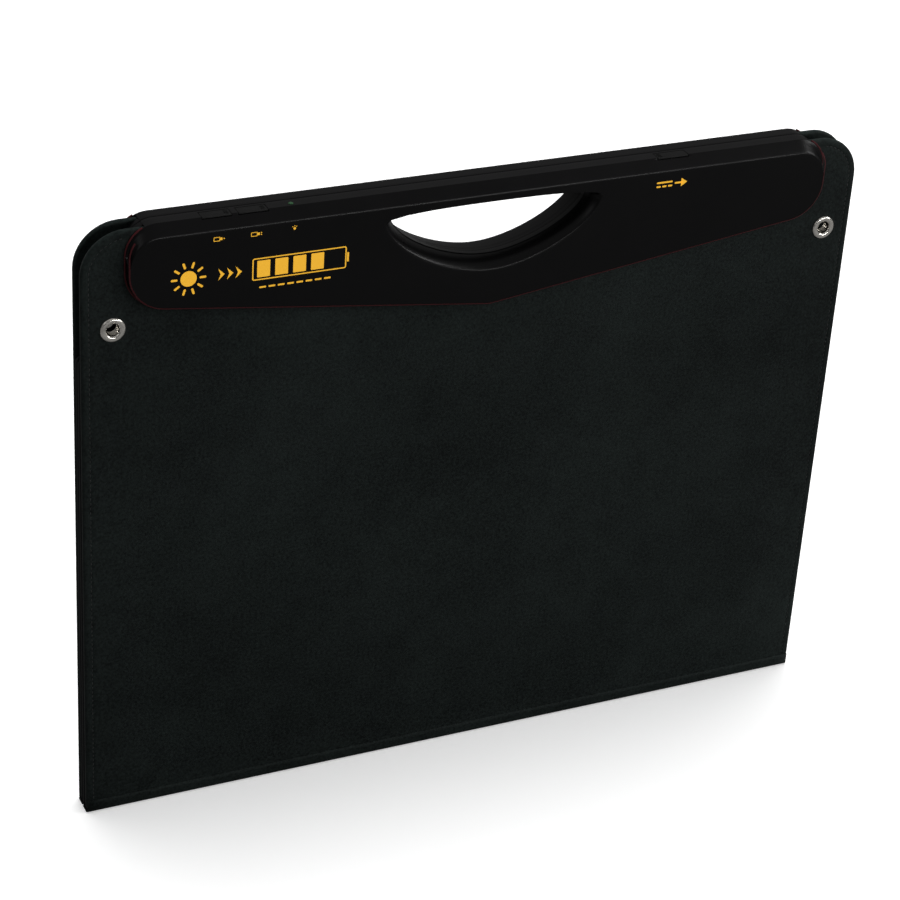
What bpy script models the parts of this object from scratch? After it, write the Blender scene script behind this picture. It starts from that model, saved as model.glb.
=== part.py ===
"""Folding solar suitcase kit, folded shut and standing on its folds. Metres, +Z up.

X runs along the carry handle and -Y is the front. Four stiff leaves lie face to face: the front cover, two
shorter inner leaves and the rear cover. The covers fold round two bottom spines, and the inner leaves fold
at their tops, so the kit opens like a tent and then lies flat with every cell facing up. Each cover is
notched at its top, where half of a moulded handle is clamped through it. The front half holds the charge
controller.

Distances called "out" are measured from the middle plane of the folded kit (y = 0) towards either outside.
"""
import math

import bmesh
import bpy
from mathutils import Matrix, Vector

# Folded kit
COVER_WIDTH = 0.540
COVER_HEIGHT = 0.425
COVER_OUT = 0.0092  # outer face of each cover
LEAF_THICKNESS = 0.0043
LEAF_GAP = 0.0004
LEAF_FOOT = 0.00115  # bottom edge of every leaf
INNER_TOP = 0.339  # top edge of the inner leaves, just under the handle
COVER_TOP_RADIUS = 0.029
CORNER_RADIUS = 0.004
FOLD_MARGIN = 0.0007  # a leaf's edge to the axis it folds about

# Layers of a leaf, measured from its back face
SKIN = 0.0009
BOARD_FROM, BOARD_TO = 0.0010, 0.0025
MODULE_FROM, MODULE_TO = 0.0026, 0.0030
CELL_FROM, CELL_TO = 0.0031, 0.0034
LINER_FROM, LINER_TO = 0.0035, 0.0041
RIM_WALL = 0.0010
LAYER_CLEAR = 0.0002

# Solar cells: pseudo-square wafers in two rows, linked by flat tabs
CELL = 0.125
CELL_CORNER = 0.018
CELL_PITCH = 0.128
CELL_COLUMNS = 4
CELL_ROWS = 2
MODULE_BORDER = 0.006
MODULE_CENTRE_Z = 0.170
TAB_WIDTH = 0.006
TAB_REACH = 0.002
TAB_THICKNESS = 0.00014

# Moulded handle
HANDLE_OUT = 0.0154  # its flat outer face
HANDLE_RIM_OUT = 0.0093  # where its edge lands on the fabric
HANDLE_HALF_WIDTH = 0.242
HANDLE_TOP = COVER_HEIGHT + 0.0025
HANDLE_APEX = COVER_HEIGHT - 0.083
HANDLE_SLOPE = 0.134  # rise of the V-shaped lower edge per metre sideways
HANDLE_TOP_RADIUS = 0.020
HANDLE_LOW_RADIUS = 0.026
HANDLE_APEX_RADIUS = 0.012
WALL = 0.002
CHAMFER_OUT = 0.0104  # the top slopes away from here to the outer face
CHAMFER_DROP = 0.0075
NOTCH_MARGIN = 0.013  # handle edge to the notch in the cover, below
NOTCH_SIDE_MARGIN = 0.0215  # and at the sides
NOTCH_CLEAR = 0.0003
COLLAR_END = 0.00215
PLATE_OUT = 0.00205
PARTING = 0.00025
PLATE_LAND = COVER_OUT - LEAF_THICKNESS - 0.0001  # the plate's flange lands on the cover's inner face

# Hand opening, a lens with a flat top
GRIP_HALF_WIDTH = 0.068
GRIP_TIP = COVER_HEIGHT - 0.016
GRIP_TOP = COVER_HEIGHT - 0.008
GRIP_BOTTOM = COVER_HEIGHT - 0.0505
GRIP_SCOOP = 0.008
GRIP_SCOOP_UP = 0.35  # share of the scoop that the grip bar has room for

# Small parts
SCREW_PLACES = ((-0.2345, -0.025), (-0.100, -0.063), (0.100, -0.063), (0.2345, -0.025))
SCREW_SHANK, SCREW_HEAD = 0.0013, 0.0028
MAGNET_PLACES = ((-0.100, -0.045), (0.100, -0.045))
MAGNET_RADIUS = 0.005
EYELET_X, EYELET_Z = 0.250, COVER_HEIGHT - 0.065
EYELET_BORE, EYELET_BARREL, EYELET_FLANGE = 0.0043, 0.0047, 0.0082
PORT_OUT = 0.0064  # middle of the ports on the handle's top
USB_X = (-0.1845, -0.1610)
LED_X = -0.1355
DC_X = 0.1275
CAP_LENGTH, CAP_WIDTH, CAP_THICKNESS = 0.019, 0.0076, 0.0011
DC_CAP_LENGTH = 0.022

FRONT, REAR = -1, 1


# ---------------------------------------------------------------- shapes
def rounded(corners, radii, steps=6):
    """The corners joined by straight lines, each rounded to its radius by an arc in steps."""
    points = []
    for i, corner in enumerate(corners):
        here = Vector(corner)
        before = (Vector(corners[i - 1]) - here).normalized()
        after = (Vector(corners[(i + 1) % len(corners)]) - here).normalized()
        half = math.acos(max(-1.0, min(1.0, before.dot(after)))) / 2
        radius = max(radii[i], 1e-5)
        reach = radius / math.tan(half)
        centre = here + (before + after).normalized() * (radius / math.sin(half))
        start = here + before * reach - centre
        turn = math.pi - 2 * half
        if before.cross(after) > 0:
            turn = -turn
        for k in range(steps + 1):
            a = turn * k / steps
            spin = Matrix(((math.cos(a), -math.sin(a)), (math.sin(a), math.cos(a))))
            points.append(tuple(centre + spin @ start))
    return points


def inset(corners, radii, distance):
    """Corners, given anticlockwise, moved inwards, and the radii that keep their arcs parallel."""
    moved, kept = [], []
    for i, corner in enumerate(corners):
        here = Vector(corner)
        along = (here - Vector(corners[i - 1])).normalized()
        onward = (Vector(corners[(i + 1) % len(corners)]) - here).normalized()
        normals = Vector((-along.y, along.x)) + Vector((-onward.y, onward.x))
        moved.append(tuple(here + normals * (distance / (1 + along.dot(onward)))))
        kept.append(max(radii[i] + (-distance if along.cross(onward) > 0 else distance), 0.0))
    return moved, kept


def lens(grow=0.0, grow_up=None, count=44):
    """The hand opening's outline: a shallow upper curve and a deeper lower one meeting at rounded tips."""
    up = GRIP_TOP - GRIP_TIP + (grow if grow_up is None else grow_up)
    down = GRIP_TIP - GRIP_BOTTOM + grow
    points = []
    for k in range(count):
        angle = 2 * math.pi * (k + 0.5) / count
        cosine, sine = math.cos(angle), math.sin(angle)
        power = 2 / 2.5 if sine > 0 else 2 / 1.6
        x = (GRIP_HALF_WIDTH + grow) * math.copysign(abs(cosine) ** power, cosine)
        z = (up if sine > 0 else down) * math.copysign(abs(sine) ** power, sine)
        points.append((x, GRIP_TIP + z))
    return points


def disc(radius, x=0.0, z=0.0, count=14):
    return [
        (x + radius * math.cos(2 * math.pi * k / count), z + radius * math.sin(2 * math.pi * k / count))
        for k in range(count)
    ]


def rectangle(x0, x1, z0, z1):
    return [(x0, z0), (x1, z0), (x1, z1), (x0, z1)]


def loft(bm, sections, closed=False):
    """Skins (y, outline) sections of equal point count. Open stacks get end caps, closed ones join up."""
    rings = [[bm.verts.new((x, y, z)) for x, z in outline] for y, outline in sections]
    pairs = list(zip(rings, rings[1:]))
    if closed:
        pairs.append((rings[-1], rings[0]))
    for low, high in pairs:
        for i in range(len(low)):
            j = (i + 1) % len(low)
            bm.faces.new((low[i], low[j], high[j], high[i]))
    if not closed:
        bm.faces.new(rings[0])
        bm.faces.new(rings[-1])
    return bm


def cell_outline(x, z):
    half, cut = CELL / 2, CELL / 2 - CELL_CORNER
    ring = ((cut, half), (-cut, half), (-half, cut), (-half, -cut), (-cut, -half), (cut, -half))
    ring += ((half, -cut), (half, cut))
    return [(x + dx, z + dz) for dx, dz in ring]


def handle_outline(shrink=0.0, drop=0.0):
    """The handle's outline seen from the front, with its top edge lowered by drop."""
    edge = HANDLE_APEX + HANDLE_SLOPE * HANDLE_HALF_WIDTH
    corners = [(0, HANDLE_APEX), (HANDLE_HALF_WIDTH, edge), (HANDLE_HALF_WIDTH, HANDLE_TOP)]
    corners += [(-HANDLE_HALF_WIDTH, HANDLE_TOP), (-HANDLE_HALF_WIDTH, edge)]
    radii = [HANDLE_APEX_RADIUS, HANDLE_LOW_RADIUS, HANDLE_TOP_RADIUS, HANDLE_TOP_RADIUS, HANDLE_LOW_RADIUS]
    corners, radii = inset(corners, radii, shrink)
    for i in (2, 3):
        corners[i] = (corners[i][0], corners[i][1] - drop)
    return rounded(corners, radii)


def notch_corners(shrink):
    """The notch in a cover, from its right top corner round to its left one, in from the handle's edge."""
    across = HANDLE_HALF_WIDTH - NOTCH_SIDE_MARGIN - shrink
    apex = HANDLE_APEX + NOTCH_MARGIN + shrink
    edge = apex + HANDLE_SLOPE * across
    return across, edge, apex


def collar_outline(shrink, drop):
    """Outline of the handle's collar, which fills the notch and reaches the handle's top."""
    across, edge, apex = notch_corners(shrink)
    top = HANDLE_TOP - drop
    corners = [(0, apex), (across, edge), (across, top), (-across, top), (-across, edge)]
    return rounded(corners, [0.012, 0.013, 0.002, 0.002, 0.013])


# ---------------------------------------------------------------- objects
def clear_scene():
    for obj in list(bpy.data.objects):
        bpy.data.objects.remove(obj)


def material(name, colour, roughness, metallic=0.0):
    made = bpy.data.materials.new(name)
    made.use_nodes = True
    shader = made.node_tree.nodes["Principled BSDF"]
    shader.inputs["Base Color"].default_value = (*colour, 1.0)
    shader.inputs["Roughness"].default_value = roughness
    shader.inputs["Metallic"].default_value = metallic
    made.diffuse_color = (*colour, 1.0)
    return made


def solid(name, bm, finish, hinge, smooth=True):
    """A named object from a closed bmesh, riding on the empty that marks its body's fold axis."""
    bmesh.ops.recalc_face_normals(bm, faces=bm.faces)
    mesh = bpy.data.meshes.new(name)
    bm.to_mesh(mesh)
    bm.free()
    if smooth:
        mesh.shade_smooth()
        mesh.set_sharp_from_angle(angle=math.radians(35))
    obj = bpy.data.objects.new(name, mesh)
    bpy.context.scene.collection.objects.link(obj)
    obj.data.materials.append(finish)
    obj.parent = hinge
    obj.matrix_parent_inverse = hinge.matrix_world.inverted()
    return obj


def prism(name, outline, y0, y1, finish, hinge):
    return solid(name, loft(bmesh.new(), [(y0, outline), (y1, outline)]), finish, hinge)


def helper(name, bm):
    """A cutter or a piece to be joined on. It isn't a part of the object."""
    bmesh.ops.recalc_face_normals(bm, faces=bm.faces)
    mesh = bpy.data.meshes.new(name)
    bm.to_mesh(mesh)
    bm.free()
    obj = bpy.data.objects.new(name, mesh)
    bpy.context.scene.collection.objects.link(obj)
    obj.hide_render = True
    obj.display_type = "WIRE"
    return obj


def boolean(obj, other, operation):
    modifier = obj.modifiers.new(other.name, "BOOLEAN")
    modifier.operation = operation
    modifier.object = other
    modifier.solver = "EXACT"


def cut(obj, bm, label):
    boolean(obj, helper(f"{obj.name}_{label}", bm), "DIFFERENCE")


def join(obj, bm, label):
    boolean(obj, helper(f"{obj.name}_{label}", bm), "UNION")


def axis_empty(name, y, z, parent=None, x=0.0):
    """Marks a body and the axis it turns about."""
    empty = bpy.data.objects.new(name, None)
    bpy.context.scene.collection.objects.link(empty)
    empty.empty_display_size = 0.02
    empty.location = (x, y, z)
    bpy.context.view_layer.update()
    if parent:
        empty.parent = parent
        empty.matrix_parent_inverse = parent.matrix_world.inverted()
        bpy.context.view_layer.update()
    return empty


def turned(sections, x, z):
    """A solid of revolution about an axis along Y. Sections are (y, radius)."""
    return loft(bmesh.new(), [(y, disc(radius, x, z)) for y, radius in sections])


def upright(sections, x, y, count=14):
    """A solid of revolution about an axis along Z. Sections are (z, radius)."""
    bm = bmesh.new()
    loft(bm, [(z, disc(radius, 0, 0, count)) for z, radius in sections])
    for vert in bm.verts:
        across, z, deep = vert.co
        vert.co = (x + across, y + deep, z)
    return bm


def box(bm, x0, x1, y0, y1, z0, z1):
    return loft(bm, [(y0, rectangle(x0, x1, z0, z1)), (y1, rectangle(x0, x1, z0, z1))])


# ---------------------------------------------------------------- leaves
class Leaf:
    """One leaf: where its back face is and which way its layers build up from there."""

    def __init__(self, name, back, towards, hinge, side=None):
        self.name, self.back, self.towards, self.hinge, self.side = name, back, towards, hinge, side

    def y(self, depth):
        return self.back + self.towards * depth

    def outline(self, shrink=0.0):
        half, top = COVER_WIDTH / 2, INNER_TOP if self.side is None else COVER_HEIGHT
        corners = [(-half, LEAF_FOOT), (half, LEAF_FOOT), (half, top)]
        radii = [CORNER_RADIUS, CORNER_RADIUS, CORNER_RADIUS]
        if self.side is not None:
            radii[2] = COVER_TOP_RADIUS
            across, edge, apex = notch_corners(0.0)
            corners += [(across, top), (across, edge), (0, apex), (-across, edge), (-across, top)]
            radii += [0.0015, 0.013, 0.012, 0.013, 0.0015]
        corners.append((-half, top))
        radii.append(radii[2])
        return rounded(*inset(corners, radii, shrink))


def leaf_skin(leaf, fabric):
    """Outer fabric: a shallow tray whose rim wraps the leaf's edge."""
    outside, inside = leaf.outline(), leaf.outline(RIM_WALL)
    rim = leaf.y(LEAF_THICKNESS)
    sections = [(leaf.back, outside), (rim, outside), (rim, inside), (leaf.y(SKIN), inside)]
    return solid(f"{leaf.name}_skin", loft(bmesh.new(), sections), fabric, leaf.hinge)


def leaf_board(leaf, plastic):
    shape = leaf.outline(RIM_WALL + LAYER_CLEAR)
    y0, y1 = leaf.y(BOARD_FROM), leaf.y(BOARD_TO)
    return prism(f"{leaf.name}_board", shape, y0, y1, plastic, leaf.hinge)


def module_half_size():
    across = (CELL_COLUMNS - 1) * CELL_PITCH / 2 + CELL / 2 + MODULE_BORDER
    up = (CELL_ROWS - 1) * CELL_PITCH / 2 + CELL / 2 + MODULE_BORDER
    return across, up


def leaf_module(leaf, sheet):
    """The backing sheet that the cells are laminated to."""
    across, up = module_half_size()
    shape = rectangle(-across, across, MODULE_CENTRE_Z - up, MODULE_CENTRE_Z + up)
    y0, y1 = leaf.y(MODULE_FROM), leaf.y(MODULE_TO)
    return prism(f"{leaf.name}_module_sheet", shape, y0, y1, sheet, leaf.hinge)


def cell_places():
    for row in range(CELL_ROWS):
        for column in range(CELL_COLUMNS):
            x = (column - (CELL_COLUMNS - 1) / 2) * CELL_PITCH
            yield column, row, x, MODULE_CENTRE_Z + (row - (CELL_ROWS - 1) / 2) * CELL_PITCH


def leaf_cells(leaf, silicon):
    """Wafers, and the flat tabs that link them into one string: along each row, then between the rows."""
    wafers, tabs = bmesh.new(), bmesh.new()
    middle = leaf.y((CELL_FROM + CELL_TO) / 2)
    deep = (middle - TAB_THICKNESS / 2, middle + TAB_THICKNESS / 2)
    reach = (CELL_PITCH - CELL) / 2 + TAB_REACH
    for column, row, x, z in cell_places():
        shape = cell_outline(x, z)
        loft(wafers, [(leaf.y(CELL_FROM), shape), (leaf.y(CELL_TO), shape)])
        for shift in (-0.035, 0.0, 0.035):
            if column < CELL_COLUMNS - 1:
                joint, at = x + CELL_PITCH / 2, z + shift
                box(tabs, joint - reach, joint + reach, *deep, at - TAB_WIDTH / 2, at + TAB_WIDTH / 2)
            elif row == 0:
                joint, at = z + CELL_PITCH / 2, x + shift
                box(tabs, at - TAB_WIDTH / 2, at + TAB_WIDTH / 2, *deep, joint - reach, joint + reach)
    string = solid(f"{leaf.name}_cell_string", wafers, silicon, leaf.hinge, smooth=False)
    join(string, tabs, "tabs")
    return string


def leaf_liner(leaf, fabric):
    """Inner fabric with a window for the solar module."""
    shape = leaf.outline(RIM_WALL + LAYER_CLEAR)
    y0, y1 = leaf.y(LINER_FROM), leaf.y(LINER_TO)
    liner = prism(f"{leaf.name}_liner", shape, y0, y1, fabric, leaf.hinge)
    across, up = module_half_size()
    across, up = across - MODULE_BORDER / 2, up - MODULE_BORDER / 2
    past = leaf.towards * 0.001
    low, high = MODULE_CENTRE_Z - up, MODULE_CENTRE_Z + up
    window = box(bmesh.new(), -across, across, y0 - past, y1 + past, low, high)
    cut(liner, window, "window")
    return liner


def make_leaf(leaf, finishes):
    layers = [
        leaf_skin(leaf, finishes["cover_fabric"]),
        leaf_board(leaf, finishes["stiffener"]),
        leaf_liner(leaf, finishes["liner_fabric"]),
    ]
    leaf_module(leaf, finishes["module_sheet"])
    leaf_cells(leaf, finishes["cell"])
    if leaf.side is not None:
        for layer in layers:
            cut(layer, cover_holes(leaf), "holes")


def cover_holes(leaf):
    """Holes through a cover for its two eyelets and the handle's screws."""
    bm = bmesh.new()
    y0, y1 = leaf.y(-0.002), leaf.y(LEAF_THICKNESS + 0.002)
    for x in (-EYELET_X, EYELET_X):
        hole = disc(EYELET_BARREL + LAYER_CLEAR, x, EYELET_Z, 20)
        loft(bm, [(y0, hole), (y1, hole)])
    for x, below in SCREW_PLACES:
        hole = disc(SCREW_SHANK + 2 * LAYER_CLEAR, x, COVER_HEIGHT + below, 10)
        loft(bm, [(y0, hole), (y1, hole)])
    return bm


def spine(name, side, fabric, hinge):
    """Fabric strip under a cover and its inner leaf, on edge between the two fold axes."""
    near, far = LEAF_GAP / 2 + SKIN / 2, COVER_OUT - SKIN / 2
    y0, y1 = side * (near + 0.0005), side * (far - 0.0005)
    half = COVER_WIDTH / 2
    return prism(name, rectangle(-half, half, 0.0, SKIN), y0, y1, fabric, hinge)


# ---------------------------------------------------------------- handle
def handle_shell(side, plastic, hinge):
    """Outer half-shell: a pan on the fabric, with a collar through the notch and a tube round the grip."""
    name = "front_handle_shell" if side == FRONT else "rear_handle_shell"
    body = [(HANDLE_OUT, 0.0014, CHAMFER_DROP), (HANDLE_OUT - 0.0008, 0.0003, CHAMFER_DROP - 0.0006)]
    body += [(HANDLE_OUT - 0.0016, 0.0, CHAMFER_DROP - 0.0016), (CHAMFER_OUT, 0.0, 0.0)]
    body += [(HANDLE_RIM_OUT, 0.0, 0.0)]
    sections = [(side * out, handle_outline(shrink, drop)) for out, shrink, drop in body]
    shell = solid(name, loft(bmesh.new(), sections), plastic, hinge)
    hollow = [(HANDLE_OUT - WALL, WALL + 0.0006, CHAMFER_DROP - 0.001), (CHAMFER_OUT, WALL, 0.0)]
    hollow += [(HANDLE_RIM_OUT - 0.001, WALL, 0.0)]
    cavity = [(side * out, handle_outline(shrink, drop)) for out, shrink, drop in hollow]
    cut(shell, loft(bmesh.new(), cavity), "cavity")
    collar = [(HANDLE_OUT - 0.0016, CHAMFER_DROP - 0.0006), (CHAMFER_OUT + 0.0004, 0.0007)]
    collar += [(CHAMFER_OUT - 0.0004, 0.00005), (COLLAR_END, 0.00005)]
    outer = [(side * out, collar_outline(NOTCH_CLEAR, drop)) for out, drop in collar]
    inner = [(side * out, collar_outline(NOTCH_CLEAR + WALL, drop + WALL)) for out, drop in reversed(collar)]
    join(shell, loft(bmesh.new(), outer + inner, closed=True), "collar")
    join(shell, grip_tube(side), "grip_tube")
    for i, (x, below) in enumerate(SCREW_PLACES):
        boss = [(side * (HANDLE_OUT - 0.0014), 0.0042), (side * (HANDLE_RIM_OUT + 0.0001), 0.0036)]
        join(shell, turned(boss, x, COVER_HEIGHT + below), f"boss_{i}")
    if side == FRONT:
        port_openings(shell)
    openings = grip_cutter(side)
    screw_holes(side, HANDLE_RIM_OUT - 0.001, HANDLE_OUT - 0.0024, bm=openings)
    cut(shell, openings, "openings")
    return shell


def grip_tube(side):
    """Wall round the hand opening, flaring out behind the scooped rim."""
    flare = [(HANDLE_OUT - 0.0012, 0.0092), (0.0100, 0.0050), (0.0080, WALL), (COLLAR_END, WALL)]
    outer = [(side * out, lens(grow, min(grow, 0.0030))) for out, grow in flare]
    inner = [(side * out, lens(-0.001)) for out, _ in reversed(flare)]
    return loft(bmesh.new(), outer + inner, closed=True)


def grip_cutter(side):
    """The hand opening, with its scooped outer rim."""
    rim = [(HANDLE_OUT + 0.001, 1.15), (HANDLE_OUT, 1.0), (HANDLE_OUT - 0.0018, 0.55)]
    rim += [(HANDLE_OUT - 0.0038, 0.2), (HANDLE_OUT - 0.0062, 0.0), (-0.001, 0.0)]
    sections = [
        (side * out, lens(GRIP_SCOOP * share, GRIP_SCOOP * GRIP_SCOOP_UP * share)) for out, share in rim
    ]
    return loft(bmesh.new(), sections)


def screw_holes(side, out0, out1, radius=SCREW_SHANK + 0.0001, bm=None):
    bm = bm or bmesh.new()
    for x, below in SCREW_PLACES:
        hole = disc(radius, x, COVER_HEIGHT + below, 10)
        loft(bm, [(side * out0, hole), (side * out1, hole)])
    return bm


def handle_plate(side, plastic, hinge):
    """Inner half-shell: a flat plate with a flange that presses on the cover's inner face."""
    name = "front_handle_plate" if side == FRONT else "rear_handle_plate"
    outside, inside = handle_outline(0.0003), handle_outline(0.0003 + WALL)
    sections = [(PARTING, outside), (PLATE_LAND, outside), (PLATE_LAND, inside), (PLATE_OUT, inside)]
    bm = loft(bmesh.new(), [(side * out, shape) for out, shape in sections])
    plate = solid(name, bm, plastic, hinge)
    across = HANDLE_HALF_WIDTH - NOTCH_SIDE_MARGIN + NOTCH_CLEAR
    relief = box(bmesh.new(), -across, across, side * PLATE_OUT, side * 0.008, COVER_HEIGHT - 0.012, 0.45)
    cut(plate, relief, "collar_relief")
    for i, (x, below) in enumerate(SCREW_PLACES):
        boss = [(side * (PARTING + 0.0008), 0.0042), (side * (PLATE_LAND - 0.00005), 0.0040)]
        join(plate, turned(boss, x, COVER_HEIGHT + below), f"boss_{i}")
    grip = [(side * (PARTING - 0.002), lens()), (side * (PLATE_LAND + 0.002), lens())]
    cut(plate, loft(bmesh.new(), grip), "grip")
    bm = screw_holes(side, PARTING - 0.001, PARTING + 0.0016, SCREW_HEAD + 0.0002)
    cut(plate, bm, "head_recesses")
    bm = screw_holes(side, PARTING + 0.001, PLATE_LAND + 0.001, SCREW_SHANK + 0.0002)
    cut(plate, bm, "screw_holes")
    return plate


def trim_bead(side, rubber, hinge):
    """Thin seal between the handle's edge and the fabric, round the sides and the lower edge."""
    name = "front_handle_seal" if side == FRONT else "rear_handle_seal"
    y0, y1 = side * HANDLE_RIM_OUT, side * (HANDLE_RIM_OUT + 0.0012)
    outer, inner = handle_outline(-0.0009), handle_outline(-0.0001)
    sections = [(y0, outer), (y1, outer), (y1, inner), (y0, inner)]
    bead = solid(name, loft(bmesh.new(), sections, closed=True), rubber, hinge)
    past = side * 0.001
    gap = box(bmesh.new(), -0.3, 0.3, y0 - past, y1 + past, COVER_HEIGHT - 0.002, COVER_HEIGHT + 0.02)
    cut(bead, gap, "open_top")
    return bead


def screws(side, steel, hinge):
    label = "front" if side == FRONT else "rear"
    for i, (x, below) in enumerate(SCREW_PLACES):
        profile = [(PARTING + 0.0001, SCREW_HEAD - 0.0004), (PARTING + 0.0004, SCREW_HEAD)]
        profile += [(PARTING + 0.0013, SCREW_HEAD), (PARTING + 0.0013, SCREW_SHANK)]
        profile += [(HANDLE_OUT - 0.0034, SCREW_SHANK), (HANDLE_OUT - 0.0028, 0.0006)]
        bm = loft(
            bmesh.new(),
            [(side * out, disc(radius, x, COVER_HEIGHT + below, 10)) for out, radius in profile],
        )
        solid(f"{label}_handle_screw_{i + 1}", bm, steel, hinge)


def magnets(side, nickel, hinge):
    label = "front" if side == FRONT else "rear"
    for (x, below), hand in zip(MAGNET_PLACES, ("left", "right")):
        profile = [(side * (PLATE_OUT + 0.0001), MAGNET_RADIUS), (side * 0.0041, MAGNET_RADIUS)]
        bm = turned(profile, x, COVER_HEIGHT + below)
        solid(f"{label}_{hand}_closing_magnet", bm, nickel, hinge)


def eyelets(side, steel, hinge):
    """A pressed eyelet and its washer at each upper corner of a cover."""
    label = "front" if side == FRONT else "rear"
    inner = COVER_OUT - LEAF_THICKNESS
    barrel, bore, flange = EYELET_BARREL, EYELET_BORE, EYELET_FLANGE
    ring = [(COVER_OUT + 0.0001, barrel), (COVER_OUT + 0.0001, flange), (COVER_OUT + 0.0007, flange)]
    ring += [(COVER_OUT + 0.0014, flange - 0.0012), (COVER_OUT + 0.0014, bore + 0.0012)]
    ring += [(COVER_OUT + 0.0008, bore), (inner - 0.0013, bore), (inner - 0.0019, bore + 0.0008)]
    ring += [(inner - 0.0014, bore + 0.0018), (inner - 0.0010, barrel)]
    washer = [(inner - 0.0001, 0.0050), (inner - 0.0001, flange), (inner - 0.0008, flange)]
    washer += [(inner - 0.0008, 0.0050)]
    for x, hand in ((-EYELET_X, "left"), (EYELET_X, "right")):
        for name, profile in ((f"{label}_{hand}_eyelet", ring), (f"{label}_{hand}_eyelet_washer", washer)):
            bm = bmesh.new()
            loft(bm, [(side * out, disc(radius, x, EYELET_Z, 20)) for out, radius in profile], closed=True)
            solid(name, bm, steel, hinge)


# ---------------------------------------------------------------- charge controller
def port_openings(shell):
    """Openings for the sockets through the front shell's top, and the recesses their caps lie in."""
    bm = bmesh.new()
    for x, length in ((USB_X[0], CAP_LENGTH), (USB_X[1], CAP_LENGTH), (DC_X, DC_CAP_LENGTH)):
        half, side = length / 2 + 0.0003, CAP_WIDTH / 2 + 0.0003
        low = HANDLE_TOP - CAP_THICKNESS - 0.0001
        box(bm, x - half, x + half, -PORT_OUT - side, -PORT_OUT + side, low, HANDLE_TOP + 0.002)
    cut(shell, bm, "cap_recesses")
    bm = bmesh.new()
    y0, y1 = -PORT_OUT - 0.0030, -PORT_OUT + 0.0030
    for x in USB_X:
        box(bm, x - 0.0068, x + 0.0068, y0, y1, HANDLE_TOP - 0.006, HANDLE_TOP + 0.001)
    for x, radius in ((LED_X, 0.0021), (DC_X, 0.0036)):
        hole = upright([(HANDLE_TOP - 0.006, radius), (HANDLE_TOP + 0.003, radius)], x, -PORT_OUT)
        mesh = bpy.data.meshes.new("hole")
        hole.to_mesh(mesh)
        hole.free()
        bm.from_mesh(mesh)
        bpy.data.meshes.remove(mesh)
    cut(shell, bm, "port_openings")


def usb_socket(number, x, steel, hinge):
    """Receptacle facing up, with its tongue."""
    top, y = HANDLE_TOP - CAP_THICKNESS - 0.0003, -PORT_OUT
    socket = solid(
        f"usb_{number}_socket",
        box(bmesh.new(), x - 0.0066, x + 0.0066, y - 0.0028, y + 0.0028, top - 0.014, top),
        steel,
        hinge,
        smooth=False,
    )
    mouth = box(bmesh.new(), x - 0.0060, x + 0.0060, y - 0.0023, y + 0.0023, top - 0.009, top + 0.001)
    cut(socket, mouth, "mouth")
    tongue = box(bmesh.new(), x - 0.0055, x + 0.0055, y - 0.0018, y - 0.0002, top - 0.0095, top - 0.0012)
    join(socket, tongue, "tongue")


def dc_socket(brass, hinge):
    """Round output socket facing up, with its centre pin."""
    top, y = HANDLE_TOP - CAP_THICKNESS - 0.0003, -PORT_OUT
    socket = solid("dc_out_socket", upright([(top - 0.016, 0.0034), (top, 0.0034)], DC_X, y), brass, hinge)
    cut(socket, upright([(top - 0.010, 0.0026), (top + 0.001, 0.0026)], DC_X, y), "mouth")
    join(socket, upright([(top - 0.0105, 0.0005), (top - 0.001, 0.0005)], DC_X, y), "pin")


def port_cap(name, x, length, opens, rubber, hinge, plug):
    """Hinged dust cap with a plug underneath. It turns about the end it opens towards."""
    half = length / 2
    axis = axis_empty(name + "_axis", -PORT_OUT, HANDLE_TOP + 0.0001, hinge, x + opens * half)
    sides = (-PORT_OUT - CAP_WIDTH / 2, -PORT_OUT + CAP_WIDTH / 2)
    plate = box(bmesh.new(), x - half, x + half, *sides, HANDLE_TOP - CAP_THICKNESS, HANDLE_TOP)
    cap = solid(name, plate, rubber, axis, smooth=False)
    across, deep = plug
    bm = box(
        bmesh.new(),
        x - across,
        x + across,
        -PORT_OUT - deep,
        -PORT_OUT + deep,
        HANDLE_TOP - CAP_THICKNESS - 0.0008,
        HANDLE_TOP - CAP_THICKNESS / 2,
    )
    join(cap, bm, "plug")
    lip = box(
        bmesh.new(),
        x - opens * (half - 0.0022) - 0.0006,
        x - opens * (half - 0.0022) + 0.0006,
        -PORT_OUT - CAP_WIDTH / 2 + 0.0015,
        -PORT_OUT + CAP_WIDTH / 2 - 0.0015,
        HANDLE_TOP - CAP_THICKNESS / 2,
        HANDLE_TOP + 0.0006,
    )
    join(cap, lip, "lip")


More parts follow.
